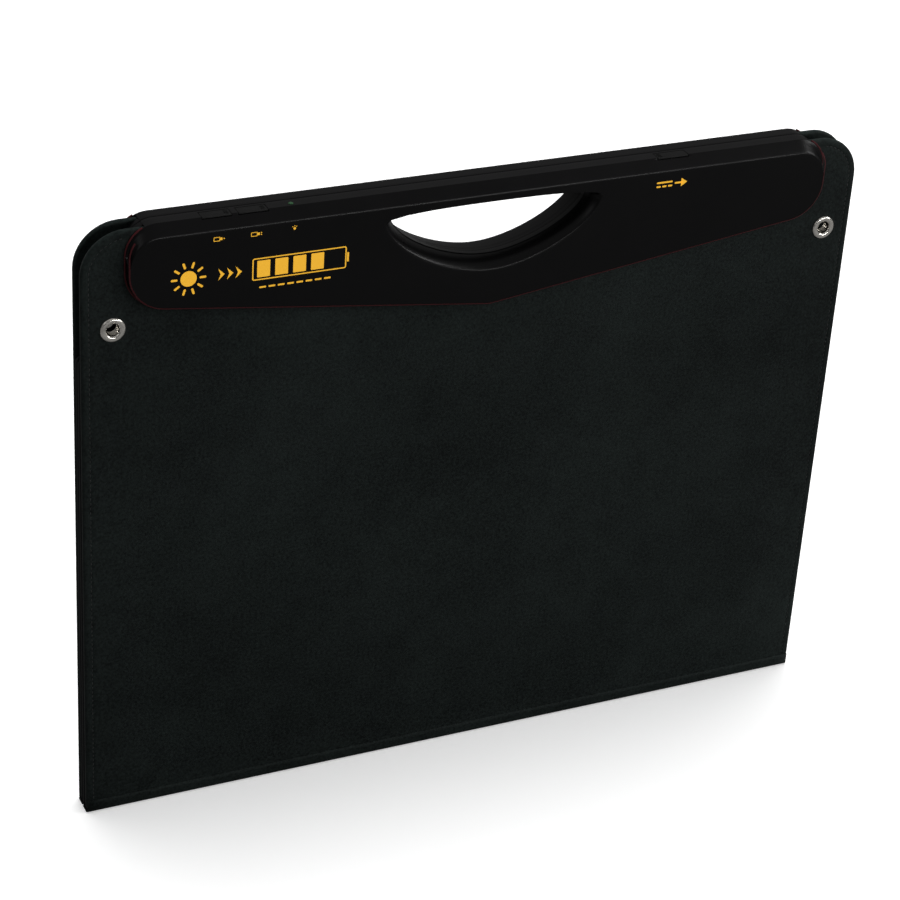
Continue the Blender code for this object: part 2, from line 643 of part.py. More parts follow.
def controller(finishes, hinge):
    """Circuit board on the front plate, with its heat sink, choke, indicator and the lead to the socket."""
    board_out, front = 0.0023, 0.0035
    low, high = COVER_HEIGHT - 0.034, COVER_HEIGHT - 0.004
    prism(
        "charge_controller_board",
        rectangle(-0.215, -0.090, low, high),
        -front,
        -board_out,
        finishes["circuit_board"],
        hinge,
    )
    sink = box(bmesh.new(), -0.150, -0.118, -0.0100, -front - 0.0001, low + 0.003, low + 0.019)
    heat_sink = solid("controller_heat_sink", sink, finishes["aluminium"], hinge, smooth=False)
    slots = bmesh.new()
    for k in range(5):
        x = -0.1465 + 0.006 * k
        box(slots, x, x + 0.003, -0.0110, -0.0056, low - 0.001, low + 0.022)
    cut(heat_sink, slots, "slots")
    choke = [(-front - 0.0001, 0.0060), (-0.0100, 0.0060), (-0.0100, 0.0028), (-front - 0.0001, 0.0028)]
    bm = loft(bmesh.new(), [(y, disc(r, -0.101, low + 0.012, 14)) for y, r in choke], closed=True)
    solid("controller_choke", bm, finishes["ferrite"], hinge)
    lamp = [(HANDLE_TOP - 0.0055, 0.0017), (HANDLE_TOP + 0.0002, 0.0017), (HANDLE_TOP + 0.0006, 0.0011)]
    solid("status_led_lens", upright(lamp, LED_X, -PORT_OUT, 16), finishes["led_lens"], hinge)
    output_lead(finishes["cable"], hinge)


def output_lead(rubber, hinge):
    """Two-core lead that runs under the hand opening from the board to the output socket."""
    path = ((-0.0880, -0.026), (-0.083, -0.042), (-0.055, -0.0530), (0.0, -0.0590), (0.055, -0.0530))
    path += ((0.094, -0.046), (0.121, -0.036), (DC_X, -0.0190))
    curve = bpy.data.curves.new("dc_out_lead", "CURVE")
    curve.dimensions = "3D"
    curve.bevel_depth = 0.0013
    curve.bevel_resolution = 1
    curve.resolution_u = 4
    curve.use_fill_caps = True
    spline = curve.splines.new("BEZIER")
    spline.bezier_points.add(len(path) - 1)
    for point, (x, below) in zip(spline.bezier_points, path):
        point.co = (x, -PORT_OUT, COVER_HEIGHT + below)
        point.handle_left_type = point.handle_right_type = "AUTO"
    lead = bpy.data.objects.new("dc_out_lead", curve)
    bpy.context.scene.collection.objects.link(lead)
    lead.data.materials.append(rubber)
    lead.parent = hinge
    lead.matrix_parent_inverse = hinge.matrix_world.inverted()


# ---------------------------------------------------------------- assembly
def make_finishes():
    return {
        "cover_fabric": material("cover_fabric", (0.012, 0.015, 0.014), 0.75),
        "liner_fabric": material("liner_fabric", (0.010, 0.010, 0.011), 0.85),
        "stiffener": material("stiffener", (0.30, 0.30, 0.29), 0.6),
        "module_sheet": material("module_sheet", (0.008, 0.009, 0.012), 0.35),
        "cell": material("cell", (0.010, 0.014, 0.035), 0.25, 0.1),
        "handle_plastic": material("handle_plastic", (0.008, 0.008, 0.008), 0.35),
        "seal_rubber": material("seal_rubber", (0.045, 0.010, 0.009), 0.5),
        "nickel": material("nickel", (0.62, 0.60, 0.56), 0.25, 1.0),
        "steel": material("steel", (0.45, 0.45, 0.46), 0.35, 1.0),
        "circuit_board": material("circuit_board", (0.01, 0.09, 0.03), 0.5),
        "aluminium": material("aluminium", (0.6, 0.6, 0.62), 0.4, 1.0),
        "ferrite": material("ferrite", (0.05, 0.05, 0.05), 0.7),
        "led_lens": material("led_lens", (0.05, 0.45, 0.10), 0.2),
        "cap_rubber": material("cap_rubber", (0.010, 0.010, 0.010), 0.8),
        "cable": material("cable", (0.015, 0.015, 0.015), 0.6),
    }


def main():
    clear_scene()
    finishes = make_finishes()
    fold_z, inner, outer = SKIN / 2, LEAF_GAP / 2 + SKIN / 2, COVER_OUT - SKIN / 2
    front_spine_axis = axis_empty("front_spine_body", 0.0, 0.0)
    front_cover_axis = axis_empty("front_cover_body", -outer, fold_z, front_spine_axis)
    front_inner_axis = axis_empty("front_inner_body", -inner, fold_z, front_spine_axis)
    rear_inner_axis = axis_empty("rear_inner_body", 0.0, INNER_TOP + FOLD_MARGIN, front_inner_axis)
    rear_spine_axis = axis_empty("rear_spine_body", inner, fold_z, rear_inner_axis)
    rear_cover_axis = axis_empty("rear_cover_body", outer, fold_z, rear_spine_axis)

    half_gap = LEAF_GAP / 2
    make_leaf(Leaf("front_cover", -COVER_OUT, 1, front_cover_axis, FRONT), finishes)
    make_leaf(Leaf("front_inner_leaf", -half_gap, -1, front_inner_axis), finishes)
    make_leaf(Leaf("rear_inner_leaf", half_gap, 1, rear_inner_axis), finishes)
    make_leaf(Leaf("rear_cover", COVER_OUT, -1, rear_cover_axis, REAR), finishes)
    spine("front_spine", FRONT, finishes["cover_fabric"], front_spine_axis)
    spine("rear_spine", REAR, finishes["cover_fabric"], rear_spine_axis)

    for side, hinge in ((FRONT, front_cover_axis), (REAR, rear_cover_axis)):
        handle_shell(side, finishes["handle_plastic"], hinge)
        handle_plate(side, finishes["handle_plastic"], hinge)
        trim_bead(side, finishes["seal_rubber"], hinge)
        screws(side, finishes["steel"], hinge)
        magnets(side, finishes["nickel"], hinge)
        eyelets(side, finishes["nickel"], hinge)

    for number, x in enumerate(USB_X, start=1):
        usb_socket(number, x, finishes["steel"], front_cover_axis)
        name = f"usb_{number}_cap"
        port_cap(name, x, CAP_LENGTH, -1, finishes["cap_rubber"], front_cover_axis, (0.0040, 0.0016))
    dc_socket(finishes["nickel"], front_cover_axis)
    port_cap("dc_out_cap", DC_X, DC_CAP_LENGTH, 1, finishes["cap_rubber"], front_cover_axis, (0.0016, 0.0016))
    controller(finishes, front_cover_axis)


main()
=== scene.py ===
"""Looks for the folding solar suitcase kit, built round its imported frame. Metres, in the frame's own axes.

X runs along the carry handle, -Y is the front and +Z is up. "Out" is a distance from the middle plane y = 0
towards the outside, so one function can make both the front half (side -1) and the rear half (side +1).
"""

import math

import bmesh
import bpy
import numpy as np
from mathutils import Matrix, Vector


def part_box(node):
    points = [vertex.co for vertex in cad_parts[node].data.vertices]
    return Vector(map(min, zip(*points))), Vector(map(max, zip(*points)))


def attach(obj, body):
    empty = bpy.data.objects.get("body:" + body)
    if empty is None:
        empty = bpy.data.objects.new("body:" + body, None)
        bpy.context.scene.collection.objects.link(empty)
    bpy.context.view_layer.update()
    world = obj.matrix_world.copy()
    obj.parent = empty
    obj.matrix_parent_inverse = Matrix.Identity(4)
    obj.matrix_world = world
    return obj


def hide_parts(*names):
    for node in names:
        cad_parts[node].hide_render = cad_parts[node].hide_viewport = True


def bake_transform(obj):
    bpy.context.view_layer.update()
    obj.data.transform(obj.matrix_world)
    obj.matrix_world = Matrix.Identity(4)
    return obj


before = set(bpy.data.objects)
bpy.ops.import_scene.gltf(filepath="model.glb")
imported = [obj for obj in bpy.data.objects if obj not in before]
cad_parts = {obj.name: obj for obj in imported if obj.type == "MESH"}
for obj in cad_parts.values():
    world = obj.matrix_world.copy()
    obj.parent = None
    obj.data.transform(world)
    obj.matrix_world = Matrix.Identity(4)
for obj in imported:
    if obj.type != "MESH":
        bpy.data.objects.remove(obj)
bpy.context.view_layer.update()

FRONT, REAR = -1, 1
SIDE_NAME = {FRONT: "front", REAR: "rear"}
MM = 0.001

# Places and sizes taken from the frame
COVER_LOW, COVER_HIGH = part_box("front_cover_skin")
_, INNER_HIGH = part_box("front_inner_leaf_skin")
SHELL_LOW, SHELL_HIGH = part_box("front_handle_shell")
_, SEAL_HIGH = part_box("front_handle_seal")
CELLS_LOW, CELLS_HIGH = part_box("front_cover_cell_string")
SHEET_LOW, SHEET_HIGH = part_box("front_cover_module_sheet")
HALF_WIDTH, COVER_TOP, COVER_FOOT = COVER_HIGH.x, COVER_HIGH.z, COVER_LOW.z
COVER_OUT, COVER_IN = -COVER_LOW.y, -COVER_HIGH.y
HANDLE_HALF, HANDLE_TOP, HANDLE_APEX = SHELL_HIGH.x, SHELL_HIGH.z, SHELL_LOW.z
HANDLE_OUT, HANDLE_RIM = -SHELL_LOW.y, -SEAL_HIGH.y

# Fabric leaves
COVER_RADIUS = 29 * MM
LEAF_RADIUS = 4 * MM
SEAM_IN = 5 * MM
PADDING = 0.7 * MM
EYELET_HOLE = 5.3 * MM
STITCH_PITCH, STITCH_LENGTH, STITCH_THICK = 3.4 * MM, 2.5 * MM, 0.34 * MM
LEAF_COUNTS = (108, 84, 12)  # steps across, up, and round each corner
LEAF_GAP = 0.15 * MM  # how much nearer the middle an inner leaf's cloth stands than its CAD skin
NOTCH_UP, NOTCH_IN = 14.5 * MM, 1.5 * MM
PADDING_COLUMNS, PADDING_ROWS, PADDING_FRAMES = 54, 44, 14
CLOTH = dict(
    quality=5, mass=0.15, tension_stiffness=12, compression_stiffness=12, bending_stiffness=1.5,
    vertex_group_mass="pins", use_pressure=True, uniform_pressure_force=4, shrink_min=-0.004,
)
FOLD_HALF = HALF_WIDTH - 0.6 * MM

# Handle
PARTING = 0.08 * MM
HANDLE_SLOPE = 0.134
TOP_RADIUS, LOW_RADIUS, APEX_RADIUS = 20 * MM, 26 * MM, 12 * MM
EDGE_ROUND = 1.3 * MM
EDGE_IN = 1.5 * MM
CREST_DROP = 7.5 * MM
SHOULDER_OUT = 9.6 * MM
COLLAR_HALF = HANDLE_HALF - 21.8 * MM
GRIP_HALF = 68 * MM
GRIP_TIP = COVER_TOP - 16 * MM
GRIP_UP, GRIP_DOWN = 8 * MM, 34.5 * MM
GRIP_SOFT = 0.05
FLARE_GROWTH = {FRONT: (7.2 * MM, -2.0 * MM), REAR: (1.2 * MM, 0.6 * MM)}  # round and below, above
FLARE_TURN = math.radians(68)
PATCH_HALF = 92 * MM
CAP_THICK, CAP_GAP = 1.1 * MM, 0.3 * MM
PATCH_ROW = 18  # rows of the face below its crest
CREST_STEPS = (-0.20, -0.12, -0.05, 0.0, 0.05, 0.12, 0.22, 0.36, 0.52, 0.70, 0.86, 1.0)

# Studio
SKY_LOW, SKY_HIGH = 0.07, 0.32
FLOOR_UNSEEN, FLOOR_GLOW = (0.16, 0.16, 0.16), 0.28
CAMERA_PLACE = (-0.6943, -1.4082, 1.1162)
CAMERA_FORWARD, CAMERA_UP = (0.3784, 0.7831, -0.4935), (0.1557, 0.4717, 0.8679)
CAMERA_LENS, CAMERA_SENSOR = 108.1, 36.0


def assign(target, values):
    for key, value in values.items():
        setattr(target, key, value)


def new_object(name, data):
    obj = bpy.data.objects.new(name, data)
    bpy.context.scene.collection.objects.link(obj)
    return obj


# ---- node materials
class Nodes:
    """A node tree, with short calls that add nodes to it and link them."""

    def __init__(self, tree, place):
        self.tree = tree
        self.place = self.add("ShaderNodeTexCoord").outputs[place]

    def add(self, kind, links=None, **settings):
        node = self.tree.nodes.new(kind)
        assign(node, settings)
        for key, value in (links or {}).items():
            self.feed(node.inputs[key], value)
        return node

    def feed(self, socket, value):
        if isinstance(value, bpy.types.NodeSocket):
            self.tree.links.new(value, socket)
        else:
            socket.default_value = value

    def math(self, operation, a, b=0.0):
        return self.add("ShaderNodeMath", {0: a, 1: b}, operation=operation).outputs[0]

    def times(self, a, b):
        return self.math("MULTIPLY", a, b)

    def plus(self, a, b):
        return self.math("ADD", a, b)

    def axes(self):
        return self.add("ShaderNodeSeparateXYZ", {"Vector": self.place}).outputs

    def camera_ray(self):
        return self.add("ShaderNodeLightPath").outputs["Is Camera Ray"]

    def ramp(self, value, low, high, out_low=0.0, out_high=1.0):
        links = {"Value": value, "From Min": low, "From Max": high, "To Min": out_low, "To Max": out_high}
        return self.add("ShaderNodeMapRange", links, clamp=True).outputs["Result"]


class Look(Nodes):
    """A procedural material."""

    def __init__(self, name):
        self.material = bpy.data.materials.new(name)
        self.material.use_nodes = True
        super().__init__(self.material.node_tree, "Object")
        self.shader = self.tree.nodes["Principled BSDF"]

    def set(self, **values):
        for key, value in values.items():
            self.feed(self.shader.inputs[key.replace("_", " ")], value)

    def noise(self, scale, detail=3.0, rough=0.5, vector=None):
        links = {"Vector": vector or self.place, "Scale": scale, "Detail": detail, "Roughness": rough}
        return self.add("ShaderNodeTexNoise", links).outputs["Fac"]

    def cells(self, scale):
        links = {"Vector": self.place, "Scale": scale}
        return self.add("ShaderNodeTexVoronoi", links, feature="SMOOTH_F1").outputs["Distance"]

    def mix(self, share, a, b):
        node = self.add("ShaderNodeMix", data_type="RGBA")
        self.feed(node.inputs["Factor"], share)
        for socket, colour in (("A", a), ("B", b)):
            self.feed(node.inputs[socket], (*colour, 1.0) if isinstance(colour, tuple) else colour)
        return node.outputs["Result"]

    def bump(self, height, distance, strength=1.0):
        links = {"Height": height, "Distance": distance, "Strength": strength}
        return self.add("ShaderNodeBump", links).outputs["Normal"]


def woven(look, pitch):
    """Height of a plain weave in the XZ plane: threads pass over and under each other."""
    x, _, z = look.axes()
    turns = 2 * math.pi / pitch
    return look.times(look.math("SINE", look.times(x, turns)), look.math("SINE", look.times(z, turns)))


def fabric_look(name, dark, light, pitch, rough, grain):
    """Woven cloth with a fine mottle and slow, wide changes of tone."""
    look = Look(name)
    mottle = look.noise(520.0, 5.0, 0.7)
    cloud = look.math("SUBTRACT", look.noise(6.0, 3.0, 0.55), 0.5)
    patch = look.math("SUBTRACT", look.noise(60.0, 4.0, 0.6), 0.5)
    share = look.plus(look.plus(mottle, look.times(cloud, 0.45)), look.times(patch, 0.22))
    look.set(Base_Color=look.mix(look.ramp(share, 0.34, 0.70), dark, light))
    look.set(Roughness=look.ramp(mottle, 0.3, 0.7, rough - 0.07, rough + 0.08))
    look.set(Sheen_Weight=0.03, Sheen_Roughness=0.5, Specular_IOR_Level=0.14)
    height = look.plus(look.times(woven(look, pitch), 0.12), look.times(mottle, grain))
    look.set(Normal=look.bump(height, 0.0003, 0.8))
    return look.material


def thread_look(name, colour):
    look = Look(name)
    x, _, z = look.axes()
    twist = look.math("SINE", look.times(look.plus(x, z), 9000.0))
    look.set(Base_Color=look.mix(look.noise(1500.0), colour, tuple(c * 1.8 + 0.004 for c in colour)))
    look.set(Roughness=0.6, Normal=look.bump(twist, 0.00006, 0.6))
    return look.material


def moulded_look(name, colour, rough, grain_size, grain_depth, level=0.45):
    """Moulded plastic or rubber: a fine grain, and a roughness that varies as handling leaves it."""
    look = Look(name)
    speckle = look.noise(2.2 / grain_size, 2.0, 0.5)
    lighter = tuple(c * 1.7 + 0.0008 for c in colour)
    look.set(Base_Color=look.mix(look.times(look.noise(12.0, 3.0, 0.5), speckle), colour, lighter))
    wear = look.times(look.noise(40.0, 5.0, 0.65), 0.16)
    look.set(Roughness=look.plus(wear, rough - 0.08), Specular_IOR_Level=level)
    height = look.plus(look.cells(1.0 / grain_size), look.times(speckle, 0.5))
    look.set(Normal=look.bump(height, grain_depth, 0.5))
    return look.material


def metal_look(name, colour, rough):
    look = Look(name)
    stretched = look.add("ShaderNodeMapping", {"Vector": look.place, "Scale": (1.0, 1.0, 12.0)})
    streaks = look.noise(350.0, 4.0, 0.7, stretched.outputs["Vector"])
    tarnish = look.ramp(look.noise(260.0, 4.0, 0.6), 0.52, 0.75)
    look.set(Base_Color=look.mix(tarnish, colour, tuple(c * 0.62 for c in colour)), Metallic=1.0)
    look.set(Roughness=look.ramp(streaks, 0.3, 0.7, rough - 0.06, rough + 0.10))
    look.set(Normal=look.bump(streaks, 0.00003, 0.4))
    return look.material


def print_look_with_painted_glow(name, colour):
    """Screen-printed ink: slightly uneven cover over the moulded grain, with a painted glow that keeps it
    bright in shade.
    """
    look = Look(name)
    thin = look.ramp(look.noise(1800.0, 3.0, 0.6), 0.62, 0.80)
    look.set(Base_Color=look.mix(thin, colour, tuple(c * 0.72 for c in colour)), Roughness=0.5)
    look.set(Normal=look.bump(look.noise(3000.0), 0.00003, 0.4))
    # Painted glow: the ink gives off light of its own colour, as if lit, though it is no lamp.
    look.set(Emission_Color=(*colour, 1.0), Emission_Strength=0.4)
    return look.material


def cell_look():
    """Dark silicon with fine contact fingers under a dimpled film, and tinned tabs between the cells."""
    look = Look("solar_cell")
    x, _, z = look.axes()
    line = look.math("LESS_THAN", look.math("PINGPONG", z, 1.0 * MM), 0.06 * MM)
    tone = look.mix(look.noise(9.0), (0.006, 0.009, 0.022), (0.011, 0.015, 0.038))
    silicon = look.mix(look.times(line, 0.5), tone, (0.10, 0.11, 0.13))
    pitch = (CELLS_HIGH.x - CELLS_LOW.x + 3 * MM) / 4
    middle_z = (CELLS_HIGH.z + CELLS_LOW.z) / 2
    beside = look.math("LESS_THAN", look.math("PINGPONG", x, pitch / 2), 1.5 * MM)
    from_middle = look.math("ABSOLUTE", look.math("SUBTRACT", z, middle_z))
    tab = look.math("MAXIMUM", beside, look.math("LESS_THAN", from_middle, 1.5 * MM))
    look.set(Base_Color=look.mix(tab, silicon, (0.42, 0.43, 0.45)), Metallic=look.times(tab, 0.8))
    look.set(Roughness=0.32, Coat_Weight=0.8, Coat_Roughness=0.16)
    film = look.bump(look.cells(900.0), 0.00006, 0.35)
    look.set(Normal=look.bump(line, 0.00002, 0.4), Coat_Normal=film)
    return look.material


def sheet_look():
    look = Look("laminate_backing")
    mesh = look.math("ABSOLUTE", woven(look, 1.1 * MM))
    look.set(Base_Color=look.mix(mesh, (0.006, 0.007, 0.009), (0.014, 0.015, 0.018)))
    look.set(Roughness=0.42, Coat_Weight=0.7, Coat_Roughness=0.18)
    look.set(Normal=look.bump(look.cells(900.0), 0.00006, 0.4))
    return look.material


def board_look():
    """Green solder mask with copper tracks showing through."""
    look = Look("circuit_board")
    x, _, _ = look.axes()
    track = look.math("PINGPONG", look.plus(x, look.times(look.noise(90.0), 0.004)), 1.6 * MM)
    on_track = look.math("LESS_THAN", track, 0.35 * MM)
    look.set(Base_Color=look.mix(on_track, (0.010, 0.075, 0.030), (0.030, 0.150, 0.055)))
    look.set(Roughness=0.35, Normal=look.bump(on_track, 0.00003, 0.5))
    return look.material


def lens_look():
    look = Look("led_lens")
    ridges = look.noise(1200.0, 2.0)
    look.set(Base_Color=look.mix(ridges, (0.010, 0.045, 0.016), (0.020, 0.080, 0.028)), Roughness=0.18)
    look.set(Coat_Weight=0.3, Normal=look.bump(ridges, 0.00004, 0.3))
    return look.material


def make_looks():
    cover_tones = (0.0012, 0.0030, 0.0028), (0.0160, 0.0228, 0.0212)
    liner_tones = (0.0040, 0.0042, 0.0044), (0.0120, 0.0125, 0.0130)
    plastic, seal = (0.0018, 0.0017, 0.0019), (0.055, 0.0075, 0.0095)
    return {
        "cover": fabric_look("cover_fabric", *cover_tones, 0.9 * MM, 0.66, 1.0),
        "liner": fabric_look("liner_fabric", *liner_tones, 0.7 * MM, 0.78, 0.6),
        "thread": thread_look("stitching_thread", (0.010, 0.011, 0.011)),
        "plastic": moulded_look("handle_plastic", plastic, 0.30, 0.55 * MM, 0.00003, 0.17),
        "cap": moulded_look("cap_rubber", (0.0035, 0.0035, 0.0035), 0.62, 0.4 * MM, 0.00004, 0.3),
        "seal": moulded_look("seal_rubber", seal, 0.5, 0.3 * MM, 0.00003, 0.2),
        "cable": moulded_look("cable_jacket", (0.010, 0.010, 0.010), 0.5, 0.5 * MM, 0.00004),
        "stiffener": moulded_look("stiffening_board", (0.22, 0.22, 0.21), 0.6, 1.2 * MM, 0.00008),
        "ferrite": moulded_look("ferrite", (0.030, 0.030, 0.032), 0.7, 0.5 * MM, 0.00008),
        "nickel": metal_look("nickel_plate", (0.86, 0.83, 0.77), 0.20),
        "steel": metal_look("screw_steel", (0.46, 0.46, 0.47), 0.34),
        "aluminium": metal_look("heat_sink_aluminium", (0.60, 0.60, 0.62), 0.40),
        "print": print_look_with_painted_glow("label_ink", (0.95, 0.50, 0.030)),
        "cell": cell_look(),
        "sheet": sheet_look(),
        "board": board_look(),
        "lens": lens_look(),
    }


# ---- mesh helpers
def add_mesh(name, bm, look, body=None, slot=None, angle=40, merge=0.0):
    """A smooth-shaded piece from a bmesh. It rides on a body if one is given."""
    if merge:
        bmesh.ops.remove_doubles(bm, verts=bm.verts, dist=merge)
        flat = [face for face in bm.faces if face.calc_area() < 1e-12]
        bmesh.ops.delete(bm, geom=flat, context="FACES_ONLY")
    bmesh.ops.recalc_face_normals(bm, faces=bm.faces)
    mesh = bpy.data.meshes.new(name)
    bm.to_mesh(mesh)
    bm.free()
    mesh.shade_smooth()
    if angle:
        mesh.set_sharp_from_angle(angle=math.radians(angle))
    obj = new_object(name, mesh)
    obj.data.materials.append(look)
    if body:
        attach(obj, body)
    return obj


def add_face(bm, corners):
    """A face from vertices that may repeat. Fewer than three different ones make no face."""
    corners = list(dict.fromkeys(corners))
    if len(corners) > 2:
        bm.faces.new(corners)


def strip(bm, first, second, closed=True):
    """Faces between two rows of vertices."""
    count = len(first)
    for i in range(count if closed else count - 1):
        j = (i + 1) % count
        add_face(bm, (first[i], first[j], second[j], second[i]))


def rows_to_mesh(rows, closed=True, bm=None):
    """Skins rows of points, each the same length."""
    bm = bm or bmesh.new()
    made = [[bm.verts.new(point) for point in row] for row in rows]
    for first, second in zip(made, made[1:]):
        strip(bm, first, second, closed)
    return bm


def add_block(bm, low, high, radius):
    """Adds a block with softened edges between two corners."""
    low, high = Vector(low), Vector(high)
    matrix = Matrix.Translation((low + high) / 2) @ Matrix.Diagonal((*(high - low), 1.0))
    made = bmesh.ops.create_cube(bm, size=1.0, matrix=matrix)["verts"]
    edges = list(dict.fromkeys(edge for vert in made for edge in vert.link_edges))
    bmesh.ops.bevel(bm, geom=edges, offset=radius, segments=3, profile=0.5, affect="EDGES")


def smooth_min(a, b, width):
    """The smaller of two values, rounded over where they meet."""
    h = np.clip(0.5 + 0.5 * (b - a) / width, 0.0, 1.0)
    return b * (1 - h) + a * h - width * h * (1 - h)


def disc(radius, x=0.0, z=0.0, count=32):
    turns = [2 * math.pi * k / count for k in range(count)]
    return [(x + radius * math.cos(a), z + radius * math.sin(a)) for a in turns]


def turned(name, node, sections, x, z, side, look):
    """A ring in place of a cover's node, turned about Y. Sections are (out, radius) in millimetres."""
    rows = [[(px, side * out * MM, pz) for px, pz in disc(r * MM, x, z, 64)] for out, r in sections]
    bm = rows_to_mesh([*rows, rows[0]])
    piece = add_mesh(name, bm, look, f"{SIDE_NAME[side]}_cover", "nickel", 35, 1e-7)
    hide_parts(node)


# ---- fabric leaves
def ring(low_x, high_x, low_z, high_z, low_radius, high_radius, inset, counts):
    """A rounded rectangle moved inwards, anticlockwise from the lower left, always with the same points."""
    across, up, corner = counts
    x0, x1, z0, z1 = low_x + inset, high_x - inset, low_z + inset, high_z - inset
    r0, r1 = max(low_radius - inset, 0.0), max(high_radius - inset, 0.0)
    runs = (
        ((x0 + r0, z0), (x1 - r0, z0), across, (x1 - r0, z0 + r0), r0),
        ((x1, z0 + r0), (x1, z1 - r1), up, (x1 - r1, z1 - r1), r1),
        ((x1 - r1, z1), (x0 + r1, z1), across, (x0 + r1, z1 - r1), r1),
        ((x0, z1 - r1), (x0, z0 + r0), up, (x0 + r0, z0 + r0), r0),
    )
    points = []
    for quarter, ((ax, az), (bx, bz), count, (cx, cz), radius) in enumerate(runs):
        points += [(ax + (bx - ax) * k / count, az + (bz - az) * k / count) for k in range(count + 1)]
        for k in range(1, corner):
            a = math.radians(90 * (quarter - 1) + 90 * k / corner)
            points.append((cx + radius * math.cos(a), cz + radius * math.sin(a)))
    return points


def under_handle(x, z):
    """Whether a place on a cover lies behind the handle."""
    return abs(x) < HANDLE_HALF and z > handle_bottom(min(abs(x), HANDLE_HALF - EDGE_IN))


def simulated_padding():
    """Cloth over a cover's board, held at its seam and under the handle. Returns how far each point lifts."""
    width, height = 2 * (HALF_WIDTH - SEAM_IN), COVER_TOP - COVER_FOOT - 2 * SEAM_IN
    bm = bmesh.new()
    bmesh.ops.create_grid(bm, x_segments=PADDING_COLUMNS, y_segments=PADDING_ROWS, size=1.0)
    for vert in bm.verts:
        vert.co = (vert.co.x * width / 2, vert.co.y * height / 2, 0.0)
    mesh = bpy.data.meshes.new("padding_sim")
    bm.to_mesh(mesh)
    bm.free()
    cloth_object = new_object("padding_sim", mesh)
    pins = cloth_object.vertex_groups.new(name="pins")
    middle_z = (COVER_TOP + COVER_FOOT) / 2
    for vert in mesh.vertices:
        x, z = vert.co.x, vert.co.y + middle_z
        border = min(width / 2 - abs(x), height / 2 - abs(vert.co.y)) < 1e-4
        if border or under_handle(x, z):
            pins.add([vert.index], 1.0, "REPLACE")
    modifier = cloth_object.modifiers.new("cloth", "CLOTH")
    settings = modifier.settings
    assign(settings, CLOTH)
    settings.effector_weights.gravity = 0
    modifier.point_cache.frame_end = PADDING_FRAMES
    for step in range(1, PADDING_FRAMES + 1):
        bpy.context.scene.frame_set(step)
    graph = bpy.context.evaluated_depsgraph_get()
    result = cloth_object.evaluated_get(graph).to_mesh()
    lift = np.array([vert.co.z for vert in result.vertices])
    place = np.array([(vert.co.x, vert.co.y) for vert in mesh.vertices])
    bpy.context.scene.frame_set(1)
    bpy.data.objects.remove(cloth_object)
    order = np.lexsort((place[:, 0], place[:, 1]))
    field = np.abs(lift[order].reshape(PADDING_ROWS + 1, PADDING_COLUMNS + 1))
    return field / max(field.max(), 1e-9)


def sample(field, x, z):
    """The padding field at a place on the cover, between its points."""
    rows, columns = field.shape
    u = (x + HALF_WIDTH - SEAM_IN) / (2 * (HALF_WIDTH - SEAM_IN)) * (columns - 1)
    v = (z - COVER_FOOT - SEAM_IN) / (COVER_TOP - COVER_FOOT - 2 * SEAM_IN) * (rows - 1)
    u, v = min(max(u, 0.0), columns - 1.001), min(max(v, 0.0), rows - 1.001)
    i, j = int(u), int(v)
    a, b = u - i, v - j
    low, high = field[j : j + 2, i] * (1 - a) + field[j : j + 2, i + 1] * a
    return low * (1 - b) + high * b


def in_notch(x, z):
    """Whether a place on a cover lies in the notch that the handle is clamped through."""
    return abs(x) < COLLAR_HALF - NOTCH_IN and z > HANDLE_APEX + NOTCH_UP + HANDLE_SLOPE * abs(x)


def cut_eyelet_holes(bm, side):
    """Cuts the fabric round each eyelet's barrel: planes round the hole, then the faces inside them."""
    for hand in ("left", "right"):
        low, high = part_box(f"{SIDE_NAME[side]}_{hand}_eyelet")
        centre = Vector(((low.x + high.x) / 2, 0.0, (low.z + high.z) / 2))

        def near(face, radius):
            return (face.calc_center_median() - centre).xz.length < radius

        for k in range(12):
            faces = [face for face in bm.faces if near(face, 14 * MM)]
            around = dict.fromkeys(part for face in faces for part in (*face.verts, *face.edges, face))
            normal = Vector((math.cos(math.pi * k / 6), 0.0, math.sin(math.pi * k / 6)))
            place = centre + normal * EYELET_HOLE
            bmesh.ops.bisect_plane(bm, geom=list(around), plane_co=place, plane_no=normal)
        inside = [face for face in bm.faces if near(face, EYELET_HOLE)]
        bmesh.ops.delete(bm, geom=inside, context="FACES")


